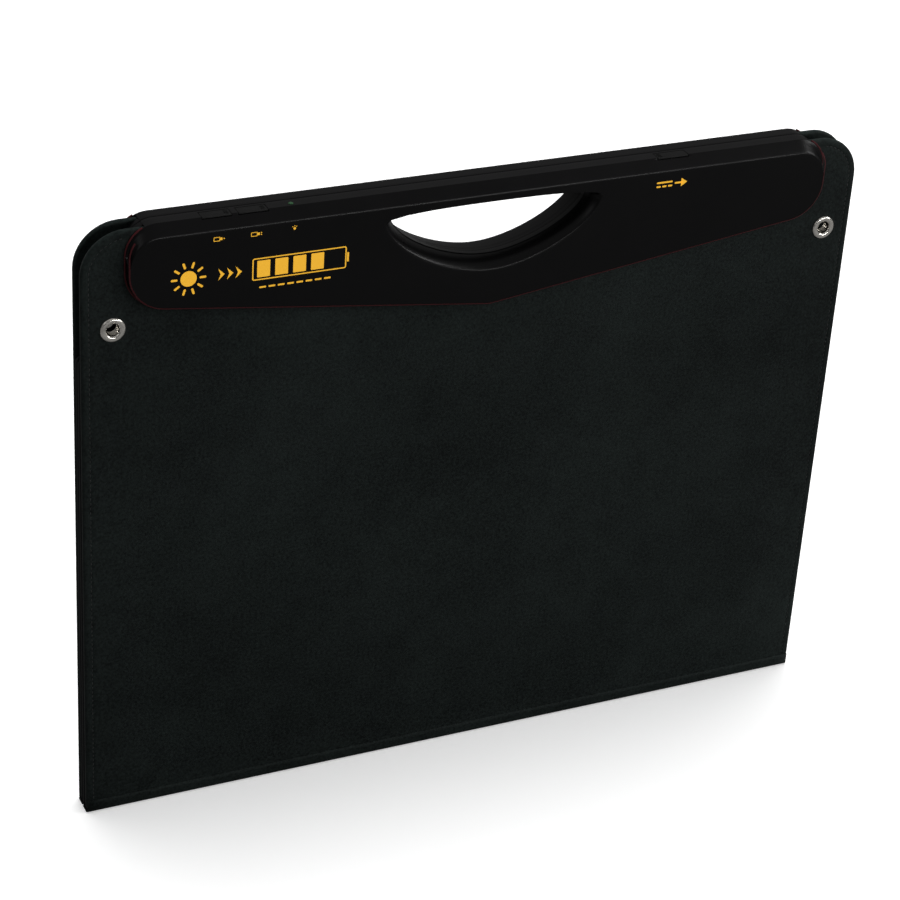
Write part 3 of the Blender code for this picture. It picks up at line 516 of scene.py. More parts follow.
def leaf_rows(back, towards, top, top_radius, frame_steps):
    """A leaf's outline as rows of points: inner frame, sewn edge, seam groove, then in over its face."""
    shape = (-HALF_WIDTH, HALF_WIDTH, COVER_FOOT, top, LEAF_RADIUS, top_radius)
    window = (SHEET_LOW.x + 3 * MM, SHEET_HIGH.x - 3 * MM, SHEET_LOW.z + 3 * MM, SHEET_HIGH.z - 3 * MM)
    outside = ring(*shape, 3.2 * MM, LEAF_COUNTS)
    inside = ring(*window, 1.0 * MM, 1.0 * MM, 0.0, LEAF_COUNTS)

    def row(inset, down):
        """The outline moved inwards, at a depth below the face. Both are in millimetres."""
        return [(x, back + towards * down * MM, z) for x, z in ring(*shape, inset * MM, LEAF_COUNTS)]

    def frame_row(share, down):
        """Part of the way from the outline (0) to the window (1)."""
        y = back + towards * down * MM
        return [(a + (c - a) * share, y, b + (d - b) * share) for (a, b), (c, d) in zip(outside, inside)]

    depth, seam = (COVER_OUT - COVER_IN) / MM, SEAM_IN / MM
    rows = [frame_row(1.0, 3.05), frame_row(1.0, 3.75), frame_row(0.985, 3.98)]
    rows += [frame_row(0.95 * (1 - k / frame_steps), 4.10) for k in range(frame_steps)]
    rows += [frame_row(0.0, 4.02), row(2.4, 4.10), row(1.4, depth - 0.02)]
    edge = ((0.7, 0.93), (0.25, 0.80), (0.02, 0.60), (0.0, 0.45), (0.10, 0.28), (0.45, 0.14), (1.1, 0.05))
    rows += [row(inset, share * depth) for inset, share in edge]
    groove = ((-0.7, 0.05), (-0.25, 0.26), (0.25, 0.26), (0.9, 0.06), (2.5, 0.0))
    rows += [row(2.0, 0.02), row(3.2, 0.0), *(row(seam + past, down) for past, down in groove)]
    start, end = seam + 2.5, face_inset(top_radius) / MM
    steps = max(2, round((end - seam) / 4))
    return rows + [row(start + (end - start) * k / steps, 0.0) for k in range(1, steps + 1)]


def face_inset(top_radius):
    """How far in from a leaf's edge the plain grid of its face begins."""
    return max(top_radius, SEAM_IN + 2 * MM) + 1 * MM


def fabric_leaf(name, body, back, towards, top, top_radius, look, padding=None):
    """A fabric-wrapped leaf: outer face, sewn edge, and an inner frame round the module's window."""
    bm = rows_to_mesh(leaf_rows(back, towards, top, top_radius, 4 if padding is None else 32))
    across, up, _ = LEAF_COUNTS
    inset = face_inset(top_radius)
    x0, x1, z0, z1 = inset - HALF_WIDTH, HALF_WIDTH - inset, COVER_FOOT + inset, top - inset
    columns = [x0 + (x1 - x0) * i / across for i in range(across + 1)]
    levels = [z0 + (z1 - z0) * j / up for j in range(up + 1)]
    rows_to_mesh([[(x, back, z) for x in columns] for z in levels], False, bm)
    if padding is not None:
        for vert in bm.verts:
            if abs(vert.co.y - back) < 0.15 * MM:
                vert.co.y -= towards * PADDING * min(sample(padding, vert.co.x, vert.co.z), 1.0)
        cut_faces = [face for face in bm.faces if in_notch(*face.calc_center_median().xz)]
        bmesh.ops.delete(bm, geom=cut_faces, context="FACES")
        cut_eyelet_holes(bm, -towards)
    leaf = add_mesh(name, bm, look, body, "cover_fabric", 50, 1e-6)
    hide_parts(f"{body}_skin", f"{body}_liner")


def add_stitch(bm, x, z, angle, y):
    made = bmesh.ops.create_icosphere(bm, subdivisions=1, radius=1.0)["verts"]
    cosine, sine = math.cos(angle), math.sin(angle)
    for vert in made:
        along, across, deep = vert.co.x * STITCH_LENGTH / 2, vert.co.z * STITCH_THICK, vert.co.y * 0.22 * MM
        vert.co = (x + along * cosine - across * sine, y + deep, z + along * sine + across * cosine)


def cover_seam(side, look):
    """Short threads one after another along a cover's seam, apart from behind the handle."""
    shape = (-HALF_WIDTH, HALF_WIDTH, COVER_FOOT, COVER_TOP, LEAF_RADIUS, COVER_RADIUS)
    path = ring(*shape, SEAM_IN, (60, 50, 16))
    path.append(path[0])
    y = side * (COVER_OUT - 0.18 * MM)
    bm = bmesh.new()
    lengths = [math.dist(a, b) for a, b in zip(path, path[1:])]
    total, travelled, at = sum(lengths), 0.0, STITCH_PITCH / 2
    for start, end, length in zip(path, path[1:], lengths):
        while length > 0 and at < travelled + length and at < total:
            t = (at - travelled) / length
            x, z = start[0] + (end[0] - start[0]) * t, start[1] + (end[1] - start[1]) * t
            at += STITCH_PITCH
            if not under_handle(x, z):
                add_stitch(bm, x, z, math.atan2(end[1] - start[1], end[0] - start[0]), y)
        travelled += length
    name = SIDE_NAME[side]
    add_mesh(f"{name}_cover_stitching", bm, look, f"{name}_cover", "cover_fabric", 0)


# ---- folds
def fold_cloth(name, profile, start, end, look, side=1):
    """A strip of cloth along X, curved along its profile.

    Places are (y, z) in millimetres, with y outwards on the given side. Start and end are not used.
    """
    across = np.linspace(-FOLD_HALF, FOLD_HALF, 55)
    rows = [[(x, side * y * MM, z * MM) for x in across] for y, z in profile]
    piece = add_mesh(name, rows_to_mesh(rows, closed=False), look, None, "cover_fabric", 0)
    solid = piece.modifiers.new("thickness", "SOLIDIFY")
    solid.thickness, solid.offset = 0.25 * MM, 0.0
    apply_modifiers(piece)
    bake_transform(piece)


def apply_modifiers(obj):
    graph = bpy.context.evaluated_depsgraph_get()
    obj.data = bpy.data.meshes.new_from_object(obj.evaluated_get(graph))
    obj.modifiers.clear()


def side_folds(side, looks):
    """Cloth round the bottom edge from a cover to its spine, and from the spine up to the inner leaf."""
    name = SIDE_NAME[side]
    cover, under, bend = COVER_OUT / MM, 0.16, 1.3
    out = cover + 0.12
    turns = [math.radians(90 * k / 8) for k in range(9)]
    profile = [(out, 9), (out, 6), (out, 3)]
    profile += [(out - bend + bend * math.cos(a), under + bend - bend * math.sin(a)) for a in turns]
    profile += [(cover - 3, under), (cover - 5, under)]
    start, end = (cover - 1.35, 0.05), (cover + 0.05, 2.65)
    fold_cloth(f"{name}_cover_fold", profile, start, end, looks["cover"], side)
    profile = [(0.12, 6), (0.12, 3), (0.12, 1.4), (0.22, 0.6), (0.72, 0.2), (1.6, 0.13), (3.2, 0.13)]
    fold_cloth(f"{name}_inner_fold", profile, (1.55, 0.15), (0.25, 2.25), looks["liner"], side)


def top_fold(look):
    """Cloth over the top of the two inner leaves."""
    top = INNER_HIGH.z / MM
    rear = [(0.05, top + 0.4), (0.08, top), (0.08, top - 2), (0.08, top - 5)]
    front = [(-y, z) for y, z in reversed(rear)]
    fold_cloth("inner_top_fold", front + rear, (-0.06, top), (0.06, top), look)


# ---- handle
def handle_points(spacing):
    """The handle's outline moved in by EDGE_IN: x, z and outward normals, anticlockwise from the apex."""
    half, top = HANDLE_HALF - EDGE_IN, HANDLE_TOP - EDGE_IN
    low = HANDLE_APEX + EDGE_IN * math.hypot(1, HANDLE_SLOPE)
    end = low + HANDLE_SLOPE * half
    corners = [(0, low), (half, end), (half, top), (-half, top), (-half, end)]
    low_turn, top_turn = LOW_RADIUS - EDGE_IN, TOP_RADIUS - EDGE_IN
    radii = [APEX_RADIUS, low_turn, top_turn, top_turn, low_turn]
    return rounded(corners, radii, spacing)


def rounded(corners, radii, spacing):
    """Points and outward normals round a convex shape, anticlockwise, with arcs at its corners."""
    arcs = []
    for i, radius in enumerate(radii):
        here, following = Vector(corners[i]), Vector(corners[(i + 1) % len(corners)])
        before, after = (Vector(corners[i - 1]) - here).normalized(), (following - here).normalized()
        half = before.angle(after) / 2
        reach = radius / math.tan(half)
        centre = here + (before + after).normalized() * (radius / math.sin(half))
        arcs.append((centre, radius, math.pi - 2 * half, here + before * reach, here + after * reach))
    points = []
    for i, (centre, radius, turn, first, last) in enumerate(arcs):
        start = math.atan2(first.y - centre.y, first.x - centre.x)
        steps = max(3, round(radius * turn / spacing * 1.6))
        for k in range(steps + 1):
            a = start + turn * k / steps
            normal = Vector((math.cos(a), math.sin(a)))
            points.append((centre + normal * radius, normal))
        following = arcs[(i + 1) % len(arcs)][3]
        steps = max(1, round((following - last).length / spacing))
        points += [(last.lerp(following, k / steps), normal) for k in range(1, steps)]
    return points


def arc_height(radius, x):
    return math.sqrt(max(radius**2 - x**2, 0.0))


def handle_bottom(x):
    """Height of the handle's lower edge, moved in by EDGE_IN, at a distance from the middle."""
    x, slope, radius = abs(x), math.atan(HANDLE_SLOPE), LOW_RADIUS - EDGE_IN
    low = HANDLE_APEX + EDGE_IN * math.hypot(1, HANDLE_SLOPE)
    centre_x = HANDLE_HALF - EDGE_IN - radius
    if x < APEX_RADIUS * math.sin(slope):
        return low + APEX_RADIUS / math.cos(slope) - arc_height(APEX_RADIUS, x)
    if x < centre_x + radius * math.sin(slope):
        return low + HANDLE_SLOPE * x
    return low + HANDLE_SLOPE * centre_x + radius / math.cos(slope) - arc_height(radius, x - centre_x)


def handle_ceiling(x):
    """Height of the handle's upper edge, moved in by EDGE_IN, at a distance from the middle."""
    radius = TOP_RADIUS - EDGE_IN
    beyond = max(abs(x) - (HANDLE_HALF - EDGE_IN - radius), 0.0)
    return HANDLE_TOP - EDGE_IN - radius + arc_height(radius, beyond)


def lens_reach(dx, dz, grow_down, grow_up):
    """Distance from the grip's centre to its edge, grown, in a direction."""
    wide = GRIP_HALF + grow_down
    if dz >= 0:
        tall, power = GRIP_UP + grow_up, 2.5
    else:
        tall, power = GRIP_DOWN + grow_down, 1.6
    across = abs(dx) / wide
    if dz < 0:
        soft = GRIP_SOFT * math.hypot(across, dz / tall)
        across = (math.hypot(across, soft) - soft) / (math.hypot(1, GRIP_SOFT) - GRIP_SOFT)
    return (across**power + (abs(dz) / tall) ** power) ** (-1 / power)


def band_out(x, z):
    """The sloping band between the face's crest and the handle's top, following the rounded top corners."""
    fall = HANDLE_TOP - EDGE_IN - handle_ceiling(x)
    height = z + fall - (HANDLE_TOP - CREST_DROP)
    return HANDLE_OUT - height * (HANDLE_OUT - SHOULDER_OUT) / CREST_DROP


def face_out(x, z, flare=None):
    """How far out the handle's face is at a place. Flare is the grip's own surface there, if any."""
    out = smooth_min(HANDLE_OUT, band_out(x, z), 0.9 * MM)
    if flare is not None:
        out = smooth_min(out, flare, 0.35 * MM)
    return float(out)


def flare_step(share):
    """Growth share and distance out of the grip's flare, from the parting plane (0) to its crest (1)."""
    angle = FLARE_TURN * share
    growth = (1 - math.cos(angle)) / (1 - math.cos(FLARE_TURN))
    return growth, PARTING + (HANDLE_OUT - PARTING) * math.sin(angle) / math.sin(FLARE_TURN)


def column_levels(x):
    """Heights of one column of the face, from its lower edge up, closer together at the crest."""
    low, high = handle_bottom(x), handle_ceiling(x)
    crest = max(high - (CREST_DROP - EDGE_IN), low + 0.55 * (high - low))
    near = [crest + (high - crest) * step for step in CREST_STEPS]
    return list(np.linspace(low, near[0], PATCH_ROW + 1))[:-1] + near


def column_places():
    """Where the face's columns stand, closer together round the ends."""
    half = HANDLE_HALF - EDGE_IN
    straight = np.linspace(PATCH_HALF, half - LOW_RADIUS, 44)
    bend = half - LOW_RADIUS + LOW_RADIUS * np.sin(np.linspace(0, math.pi / 2, 22)[1:])
    middle = np.linspace(-PATCH_HALF, PATCH_HALF, 75)
    ends = np.concatenate([straight[1:], bend])
    return list(-ends[::-1]), list(middle), list(ends)


def handle_surface(side):
    """The moulded half-shell's outer skin: face, band, top, rounded edge and the flared grip."""
    bm = bmesh.new()
    cache = {}

    def vert(x, z, out):
        key = (round(x * 1e7), round(z * 1e7), round(out * 1e7))
        if key not in cache:
            cache[key] = bm.verts.new((x, side * out, z))
        return cache[key]

    left, middle, right = column_places()
    places = left + middle + right
    levels = {x: column_levels(x) for x in places}
    first, last = len(left), len(left) + len(middle) - 1
    for i, (xa, xb) in enumerate(zip(places, places[1:])):
        start = PATCH_ROW if first <= i < last else 0
        for j in range(start, len(levels[xa]) - 1):
            corners = [(x, levels[x][row]) for x, row in ((xa, j), (xb, j), (xb, j + 1), (xa, j + 1))]
            add_face(bm, [vert(x, z, face_out(x, z)) for x, z in corners])
    grip_patch(bm, vert, places[first : last + 1], levels, FLARE_GROWTH[side])
    edge_rings(bm, vert, places, levels, side)
    return bm


def border(places, levels, top):
    """The points round a block of columns, anticlockwise, from their lowest level up to the given one."""
    xa, xb = places[0], places[-1]
    loop = [(x, levels[x][0]) for x in places]
    loop += [(xb, z) for z in levels[xb][1 : top + 1]]
    loop += [(x, levels[x][top]) for x in reversed(places[:-1])]
    return loop + [(xa, z) for z in reversed(levels[xa][1:top])]


def grip_patch(bm, vert, places, levels, flare):
    """The part of the face round the grip: rays from a rectangle to the grip's crest, then the flare."""
    rays, flare_rows = 22, 20
    table = []
    for x, z in border(places, levels, PATCH_ROW):
        dx, dz = x, z - GRIP_TIP
        crest = lens_reach(dx, dz, *flare)
        column = [vert(x, z, face_out(x, z))]
        for k in range(1, rays + 1):
            t = k / rays
            reach = (1 - t) + t * crest
            px, pz = dx * reach, GRIP_TIP + dz * reach
            column.append(vert(px, pz, face_out(px, pz, HANDLE_OUT + 0.25 * MM * (rays - k))))
        for k in range(1, flare_rows + 1):
            growth, out = flare_step(1 - k / flare_rows)
            reach = lens_reach(dx, dz, flare[0] * growth, flare[1] * growth)
            px, pz = dx * reach, GRIP_TIP + dz * reach
            column.append(vert(px, pz, face_out(px, pz, out)))
        table.append(column)
    for a, b in zip(table, table[1:] + table[:1]):
        for j in range(len(a) - 1):
            add_face(bm, (a[j], b[j], b[j + 1], a[j + 1]))


def edge_rings(bm, vert, places, levels, side):
    """The rounded edge down to the fabric, a flange under it, and the flat top back to the parting line."""
    loop = border(places, levels, len(levels[places[0]]) - 1)
    normals = []
    for i in range(len(loop)):
        along = (Vector(loop[(i + 1) % len(loop)]) - Vector(loop[i - 1])).normalized()
        normals.append(Vector((along.y, -along.x)))
    rings = [[vert(x, z, face_out(x, z)) for x, z in loop]]
    steps = []
    for k in range(1, 7):
        a = math.radians(90 - 15 * k)
        inset = max(EDGE_IN - 0.12 * MM - EDGE_ROUND * math.cos(a), 0.08 * MM)
        steps.append((inset, HANDLE_OUT - EDGE_ROUND + EDGE_ROUND * math.sin(a)))
    steps += [(0.05 * MM, HANDLE_OUT - 3 * MM), (0.0, HANDLE_RIM)]
    for inset, out in steps:
        row = []
        for (x, z), normal in zip(loop, normals):
            px, pz = x + normal.x * (EDGE_IN - inset), z + normal.y * (EDGE_IN - inset)
            row.append(vert(px, pz, min(out, face_out(x, pz))))
        rings.append(row)
    under = HANDLE_RIM + 0.02 * MM
    rings.append([vert(x - n.x * 3 * MM, z - n.y * 3 * MM, under) for (x, z), n in zip(loop, normals)])
    for first, second in zip(rings, rings[1:]):
        strip(bm, first, second)
    top = [v for v in rings[-2] if v.co.z > COVER_TOP + 0.2 * MM]
    top.sort(key=lambda v: v.co.x)
    previous = top
    for out, drop in ((7.0, 0.0), (3.5, 0.0), (0.95, 0.0), (0.50, 0.10), (0.14, 0.42), (0.08, 1.0)):
        row = [bm.verts.new((v.co.x, side * out * MM, v.co.z - drop * MM)) for v in top]
        strip(bm, previous, row, closed=False)
        previous = row


def handle_plate_mesh(side):
    """Inner plate with the grip hole, and the collar that fills the cover's notch under the handle's top."""
    outline = handle_points(3 * MM)

    def outer_row(out, grow):
        y = side * out * MM
        return [(p.x + n.x * grow * MM, y, p.y + n.y * grow * MM) for p, n in outline]

    def grip_row(out, grow, share=1.0):
        """Points part of the way from the outline (0) to the grip's edge (1)."""
        row = []
        for p, _ in outline:
            dz = p.y - GRIP_TIP
            reach = 1 + (lens_reach(p.x, dz, grow * MM, grow * MM) - 1) * share
            row.append((p.x * reach, side * out * MM, GRIP_TIP + dz * reach))
        return row

    rows = [outer_row(out, grow) for out, grow in ((4.75, 0.6), (1.2, 1.15), (0.5, 1.0), (0.1, 0.5))]
    rows += [grip_row(0.1, 0.5, share) for share in (0.25, 0.5, 0.75)]
    rows += [grip_row(out, grow) for out, grow in ((0.1, 0.5), (0.25, 0.12), (0.8, 0.02), (4.75, 0.02))]
    bm = rows_to_mesh(rows)
    add_collar(bm, side)
    return bm


def add_collar(bm, side):
    """Blocks behind the handle's top strip that fill the notch's upper ends."""
    near, far = sorted((side * 0.4 * MM, side * 9.25 * MM))
    low, high = HANDLE_TOP - 8.5 * MM, HANDLE_TOP - 0.35 * MM
    for x0, x1 in ((-COLLAR_HALF, -PATCH_HALF), (PATCH_HALF, COLLAR_HALF)):
        add_block(bm, (x0, near, low), (x1, far, high), 0.25 * MM)


def cut(obj, other):
    """Applies a Boolean difference and removes the cutter."""
    modifier = obj.modifiers.new("cut", "BOOLEAN")
    modifier.object, modifier.operation, modifier.solver = other, "DIFFERENCE", "EXACT"
    apply_modifiers(obj)
    bpy.data.objects.remove(other)


def make_handle(side, looks):
    """The moulded half-shell and its inner plate. Returns the shell."""
    name, look, slot = SIDE_NAME[side], looks["plastic"], "handle_plastic"
    shell = add_mesh(f"{name}_handle_skin", handle_surface(side), look, f"{name}_cover", slot, 55, 1e-6)
    plate = add_mesh(f"{name}_handle_inner", handle_plate_mesh(side), look, f"{name}_cover", slot)
    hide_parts(f"{name}_handle_shell")
    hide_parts(f"{name}_handle_plate")
    make_seal(side, looks["seal"])
    return shell


def open_run(top):
    """The handle's outline and normals as one run, without the part that lies above a height."""
    kept = [(point, normal) for point, normal in handle_points(2 * MM) if point.y < top]
    start = max(range(len(kept)), key=lambda i: (kept[i][0] - kept[i - 1][0]).length)
    return kept[start:] + kept[:start]


def make_seal(side, look):
    """A round bead where the handle meets the fabric, and a fine line on the rounded edge of its face."""
    radius = 0.55 * MM
    run = open_run(HANDLE_TOP - 3.2 * MM)
    bead = []
    for k in range(11):
        a = 2 * math.pi * k / 10
        grow, out = EDGE_IN + 0.35 * MM + radius * math.cos(a), HANDLE_RIM + radius * (0.7 + math.sin(a))
        bead.append([(p.x + n.x * grow, side * out, p.y + n.y * grow) for p, n in run])
    bm = rows_to_mesh(bead, closed=False)
    run = open_run(HANDLE_TOP - CREST_DROP - 1.0 * MM)
    line = []
    for k in range(6):
        a = math.radians(84 - 9 * k)
        grow = EDGE_ROUND * math.cos(a) + 0.13 * MM
        out = HANDLE_OUT - EDGE_ROUND * (1 - math.sin(a)) + 0.04 * MM
        line.append([(p.x + n.x * grow, side * out, p.y + n.y * grow) for p, n in run])
    rows_to_mesh(line, closed=False, bm=bm)
    name = SIDE_NAME[side]
    seal = add_mesh(f"{name}_handle_bead", bm, look, f"{name}_cover", "seal_rubber", 0, 1e-7)
    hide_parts(f"{name}_handle_seal")


# ---- small parts
def make_eyelets(side, look):
    """Each eyelet's rolled ring on the face, and its washer behind. Sections are in millimetres."""
    name = SIDE_NAME[side]
    out, back = COVER_OUT / MM, COVER_IN / MM
    for hand in ("left", "right"):
        eyelet = f"{name}_{hand}_eyelet"
        low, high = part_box(eyelet)
        x, z = (low.x + high.x) / 2, (low.z + high.z) / 2
        flange = (high.x - low.x) / 2 / MM
        bore, middle = flange - 4.0, flange - 2.0
        dome = [(out + 0.05, bore + 0.5), (out + 0.05, flange - 0.15)]
        turns = [math.pi * k / 12 for k in range(13)]
        dome += [(out + 0.15 + 1.35 * math.sin(a), middle + 2.0 * math.cos(a)) for a in turns]
        dome += [(out - 1.2, bore - 0.05), (back - 1.4, bore - 0.05), (back - 1.8, bore + 0.7)]
        dome += [(back - 1.5, bore + 1.5), (back - 1.0, bore + 0.5)]
        turned(f"{eyelet}_ring", eyelet, dome, x, z, side, look)
        low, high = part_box(f"{eyelet}_washer")
        near, far = sorted((abs(low.y) / MM, abs(high.y) / MM))
        rim = (high.x - low.x) / 2 / MM
        washer = [(near, 5.1), (near - 0.05, 6.5), (near + 0.1, rim - 0.2), (far - 0.1, rim)]
        washer += [(far, rim - 0.3), (far, 5.1)]
        turned(f"{name}_{hand}_backing_ring", f"{eyelet}_washer", washer, x, z, side, look)


def make_caps(shell, look):
    """Dust caps in recesses on the handle's top, each with a plug below and ribs at its free end."""
    for label in ("usb_1", "usb_2", "dc_out"):
        low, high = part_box(f"{label}_cap")
        base = HANDLE_TOP - CAP_THICK
        recess = bmesh.new()
        spare = Vector((CAP_GAP, CAP_GAP, 0.0))
        low.z, high.z = base - 1.2 * MM, HANDLE_TOP + 2 * MM
        add_block(recess, low - spare, high + spare, 0.25 * MM)
        cut(shell, add_mesh("cap_recess", recess, look))
        bm = bmesh.new()
        add_block(bm, (low.x, low.y, base), (high.x, high.y, HANDLE_TOP), 0.35 * MM)
        free_end, inwards = (low.x, 1) if label == "dc_out" else (high.x, -1)
        for k in range(3):
            x = free_end + inwards * (1.6 + 0.9 * k) * MM
            rib_low = (x - 0.25 * MM, low.y + 1.4 * MM, HANDLE_TOP - 0.2 * MM)
            add_block(bm, rib_low, (x + 0.25 * MM, high.y - 1.4 * MM, HANDLE_TOP + 0.35 * MM), 0.12 * MM)
        middle, half = (low.x + high.x) / 2, (1.5 if label == "dc_out" else 3.6) * MM
        plug_low = (middle - half, low.y + 2.3 * MM, base - 0.7 * MM)
        add_block(bm, plug_low, (middle + half, high.y - 2.3 * MM, base + 0.3 * MM), 0.2 * MM)
        cap = add_mesh(f"{label}_cap_cover", bm, look, f"{label}_cap", "cap_rubber")
        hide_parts(f"{label}_cap")


# ---- printed icons
class Print:
    """Flat ink shapes on the front handle's face, gathered in one mesh. Its sizes are in millimetres."""

    def __init__(self):
        self.bm = bmesh.new()

    def verts(self, points):
        y = -(HANDLE_OUT + 0.06 * MM)
        return [self.bm.verts.new((x * MM, y, z * MM)) for x, z in points]

    def polygon(self, points):
        self.bm.faces.new(self.verts(points))

    def bar(self, x, z, width, height, round_by=0.0, tilt=0.0):
        corners = []
        r = min(round_by, width / 2, height / 2)
        for cx, cz, start in ((1, -1, -90), (1, 1, 0), (-1, 1, 90), (-1, -1, 180)):
            for k in range(5):
                a = math.radians(start + 22.5 * k)
                px = cx * (width / 2 - r) + r * math.cos(a)
                corners.append((px, cz * (height / 2 - r) + r * math.sin(a)))
        c, s = math.cos(tilt), math.sin(tilt)
        self.polygon([(x + px * c - pz * s, z + px * s + pz * c) for px, pz in corners])

    def box_ring(self, x, z, width, height, line, corner):
        def outline(inset, radius):
            w, h = width / 2 - inset, height / 2 - inset
            return self.verts(ring(x - w, x + w, z - h, z + h, radius, radius, 0.0, (1, 1, 6)))

        strip(self.bm, outline(0.0, corner), outline(line, max(corner - line, 0.2)))


def usb_icon(ink, x, z, dots):
    """A plug seen from the side, with one or two dots for its number."""
    ink.box_ring(x - 1.2, z, 4.2, 2.9, 0.45, 0.5)
    ink.bar(x + 1.65, z, 1.4, 1.7, 0.2)
    for k in range(dots):
        ink.polygon(disc(0.42, x + 3.4, z + (0.65 * (1 - 2 * k) if dots == 2 else 0.0), 14))


def sun_icon(ink, x, z, size):
    ink.polygon(disc(size * 0.42, x, z, 28))
    for k in range(10):
        a = 2 * math.pi * k / 10
        reach = size * 0.74
        ink.bar(x + reach * math.cos(a), z + reach * math.sin(a), size * 0.34, size * 0.12, size * 0.05, a)


def battery_icon(ink, x, z, width, height):
    ink.box_ring(x, z, width, height, 0.8, 1.4)
    ink.bar(x + width / 2 + 1.0, z, 1.3, height * 0.42, 0.3)
    pitch = (width - 3) / 5
    for k in range(4):
        ink.bar(x - width / 2 + 1.5 + (k + 0.5) * pitch, z, pitch * 0.72, height - 3.8, 0.5)


def lamp_icon(ink, x, z):
    ink.polygon(disc(0.85, x, z, 18))
    for k in range(3):
        a = math.radians(45 + 45 * k)
        ink.bar(x + 1.75 * math.cos(a), z + 1.75 * math.sin(a), 0.95, 0.36, 0.1, a)


def dc_icon(ink, x, z):
    """Direct current, going out: a solid line over a dashed one, then an arrow."""
    ink.bar(x - 5.0, z + 1.4, 11.4, 1.2, 0.3)
    for k in range(3):
        ink.bar(x - 5.0 + (k - 1) * 4.2, z - 1.4, 3.0, 1.2, 0.3)
    ink.bar(x + 5.2, z, 5.4, 1.3, 0.3)
    tip = x + 11.6
    ink.polygon([(tip, z), (tip - 4.4, z + 3.0), (tip - 4.4, z - 3.0)])


def make_print(look):
    """The outlets' and lamp's icons near the top, and the sun charging a battery below them."""
    ink = Print()
    top = COVER_TOP / MM
    usb_icon(ink, -185, top - 10.6, 1)
    usb_icon(ink, -161, top - 10.6, 2)
    lamp_icon(ink, -136, top - 10.2)
    dc_icon(ink, 125, top - 14.0)
    row = top - 34.5
    sun_icon(ink, -204, row, 12.4)
    for k in range(3):
        x = -185 + 5.6 * k
        ink.polygon([(x, row + 4.0), (x + 1.5, row), (x, row - 4.0), (x + 4.1, row)])
    battery_icon(ink, -132, row, 62, 15)
    for k in range(8):
        ink.bar(-156 + 6.1 * k, top - 47, 4.4, 1.2, 0.4)
    add_mesh("port_and_charge_icons", ink.bm, look, "front_cover", "handle_plastic", 0)


# ---- frame nodes that stay in view
NODE_LOOKS = {
    "_cell_string": "cell",
    "_module_sheet": "sheet",
    "charge_controller_board": "board",
    "_board": "stiffener",
    "_screw_": "steel",
    "_magnet": "nickel",
    "usb_1_socket": "steel",
    "usb_2_socket": "steel",
    "dc_out_socket": "nickel",
    "heat_sink": "aluminium",
    "choke": "ferrite",
    "led_lens": "lens",
    "_lead": "cable",
    "_spine": "liner",
}


def dress_nodes(looks):
    """Gives each CAD node a procedural material: the first in the table whose key is in its name."""
    for name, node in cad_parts.items():
        found = [look for part, look in NODE_LOOKS.items() if part in name]
        if found:
            node.data.materials.clear()
            node.data.materials.append(looks[found[0]])


# ---- stage
def add_light(name, kind, **settings):
    data = bpy.data.lights.new(name, kind)
    assign(data, settings)
    return new_object(name, data)


def area_light(name, place, target, size, power):
    light = add_light(name, "AREA", shape="RECTANGLE", size=size[0], size_y=size[1], energy=power)
    light.location = place
    light.rotation_euler = (Vector(target) - Vector(place)).to_track_quat("-Z", "Y").to_euler()


def make_floor():
    """Pale where the camera sees it, and darker for every other ray, so that it doesn't light the part."""
    bm = bmesh.new()
    bmesh.ops.create_grid(bm, x_segments=1, y_segments=1, size=12.0)
    look = Look("studio_floor")
    pale = look.mix(look.noise(3.0), (0.94, 0.94, 0.94), (0.97, 0.97, 0.97))
    seen = look.camera_ray()
    look.set(Base_Color=look.mix(seen, FLOOR_UNSEEN, pale), Roughness=0.9, Specular_IOR_Level=0.1)
    look.set(Emission_Color=(1.0, 1.0, 1.0, 1.0), Emission_Strength=look.times(seen, FLOOR_GLOW))
    floor = add_mesh("floor", bm, look.material)
    floor.location.z = -0.3 * MM


def make_world():
    """White where the camera sees it, and a dim sky, lighter upwards, for every other ray."""
    world = bpy.data.worlds.new("studio")
    world.use_nodes = True
    nodes = Nodes(world.node_tree, "Generated")
    background = world.node_tree.nodes["Background"].inputs
    sky = nodes.ramp(nodes.axes()["Z"], 0.0, 1.0, SKY_LOW, SKY_HIGH)
    nodes.feed(background["Color"], (1.0, 1.0, 1.0, 1.0))
    nodes.feed(background["Strength"], nodes.math("MAXIMUM", sky, nodes.camera_ray()))
    bpy.context.scene.world = world
    bpy.context.scene.view_settings.view_transform = "Standard"


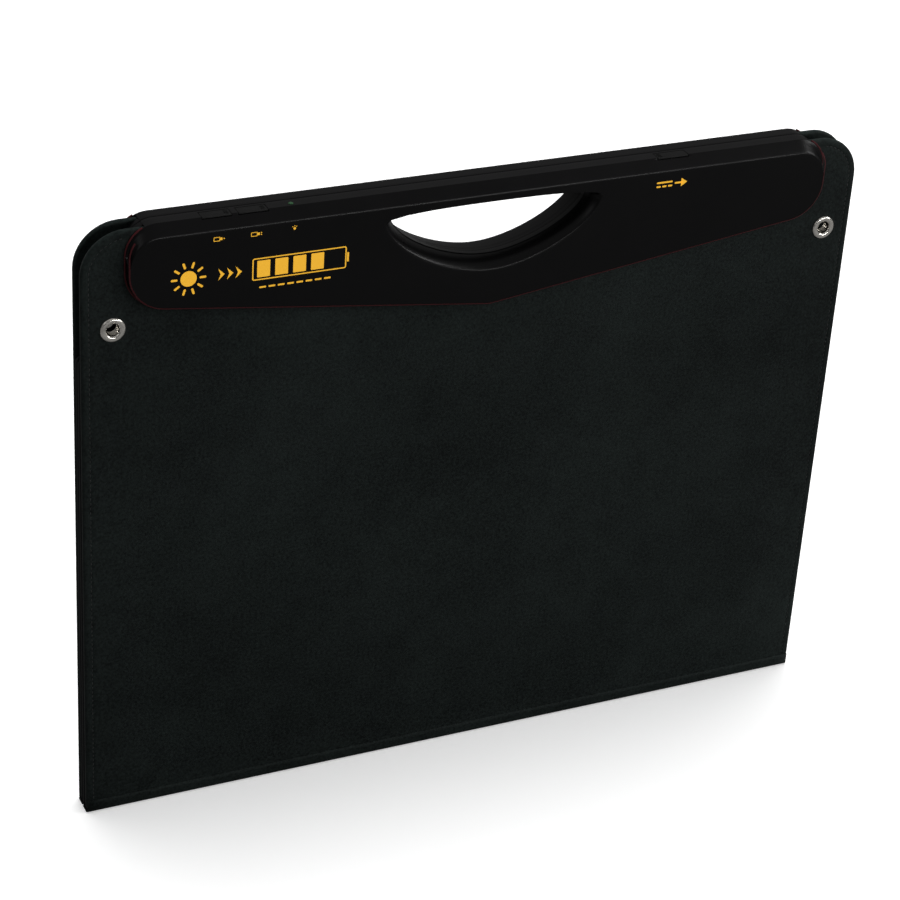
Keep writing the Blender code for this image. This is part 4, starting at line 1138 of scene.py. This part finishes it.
def make_lights():
    """A wide soft light overhead, which glossy surfaces don't mirror, and three that pick out the edges."""
    overhead = add_light("overhead", "SUN", energy=2.6, angle=math.radians(50))
    overhead.rotation_euler = (math.radians(-14), math.radians(8), 0)
    overhead.visible_glossy = False
    area_light("key", (-1.9, -1.5, 1.9), (0, 0, 0.25), (0.9, 0.7), 2)
    area_light("edge", (2.3, -1.3, 1.3), (0.2, 0, 0.35), (0.6, 0.9), 17)
    area_light("crest", (0.95, -2.3, 0.9), (0, 0, 0.42), (1.6, 0.22), 13)


def make_camera():
    """The camera stands at the front left and looks down."""
    data = bpy.data.cameras.new("camera")
    data.sensor_width, data.lens = CAMERA_SENSOR, CAMERA_LENS
    camera = new_object("camera", data)
    forward, up = Vector(CAMERA_FORWARD).normalized(), Vector(CAMERA_UP)
    up = (up - forward * up.dot(forward)).normalized()
    turn = Matrix((forward.cross(up), up, -forward)).transposed()
    camera.matrix_world = Matrix.Translation(CAMERA_PLACE) @ turn.to_4x4()
    bpy.context.scene.camera = camera


# ---- assembly
def make_side(side, padding, looks):
    """One half of the case: its cover, its inner leaf, the cloth that joins them, and its handle."""
    name = SIDE_NAME[side]
    cover, inner = f"{name}_cover", f"{name}_inner"
    shape = (side * COVER_OUT, -side, COVER_TOP, COVER_RADIUS)
    fabric_leaf(f"{cover}_fabric", cover, *shape, looks["cover"], padding)
    shape = (side * (-INNER_HIGH.y - LEAF_GAP), side, INNER_HIGH.z, LEAF_RADIUS)
    fabric_leaf(f"{inner}_fabric", f"{inner}_leaf", *shape, looks["liner"])
    cover_seam(side, looks["thread"])
    side_folds(side, looks)
    shell = make_handle(side, looks)
    make_eyelets(side, looks["nickel"])
    if side == FRONT:
        make_caps(shell, looks["cap"])


def main():
    looks = make_looks()
    padding = simulated_padding()
    for side in (FRONT, REAR):
        make_side(side, padding, looks)
    top_fold(looks["liner"])
    make_print(looks["print"])
    dress_nodes(looks)
    make_floor()
    make_world()
    make_lights()
    make_camera()


main()
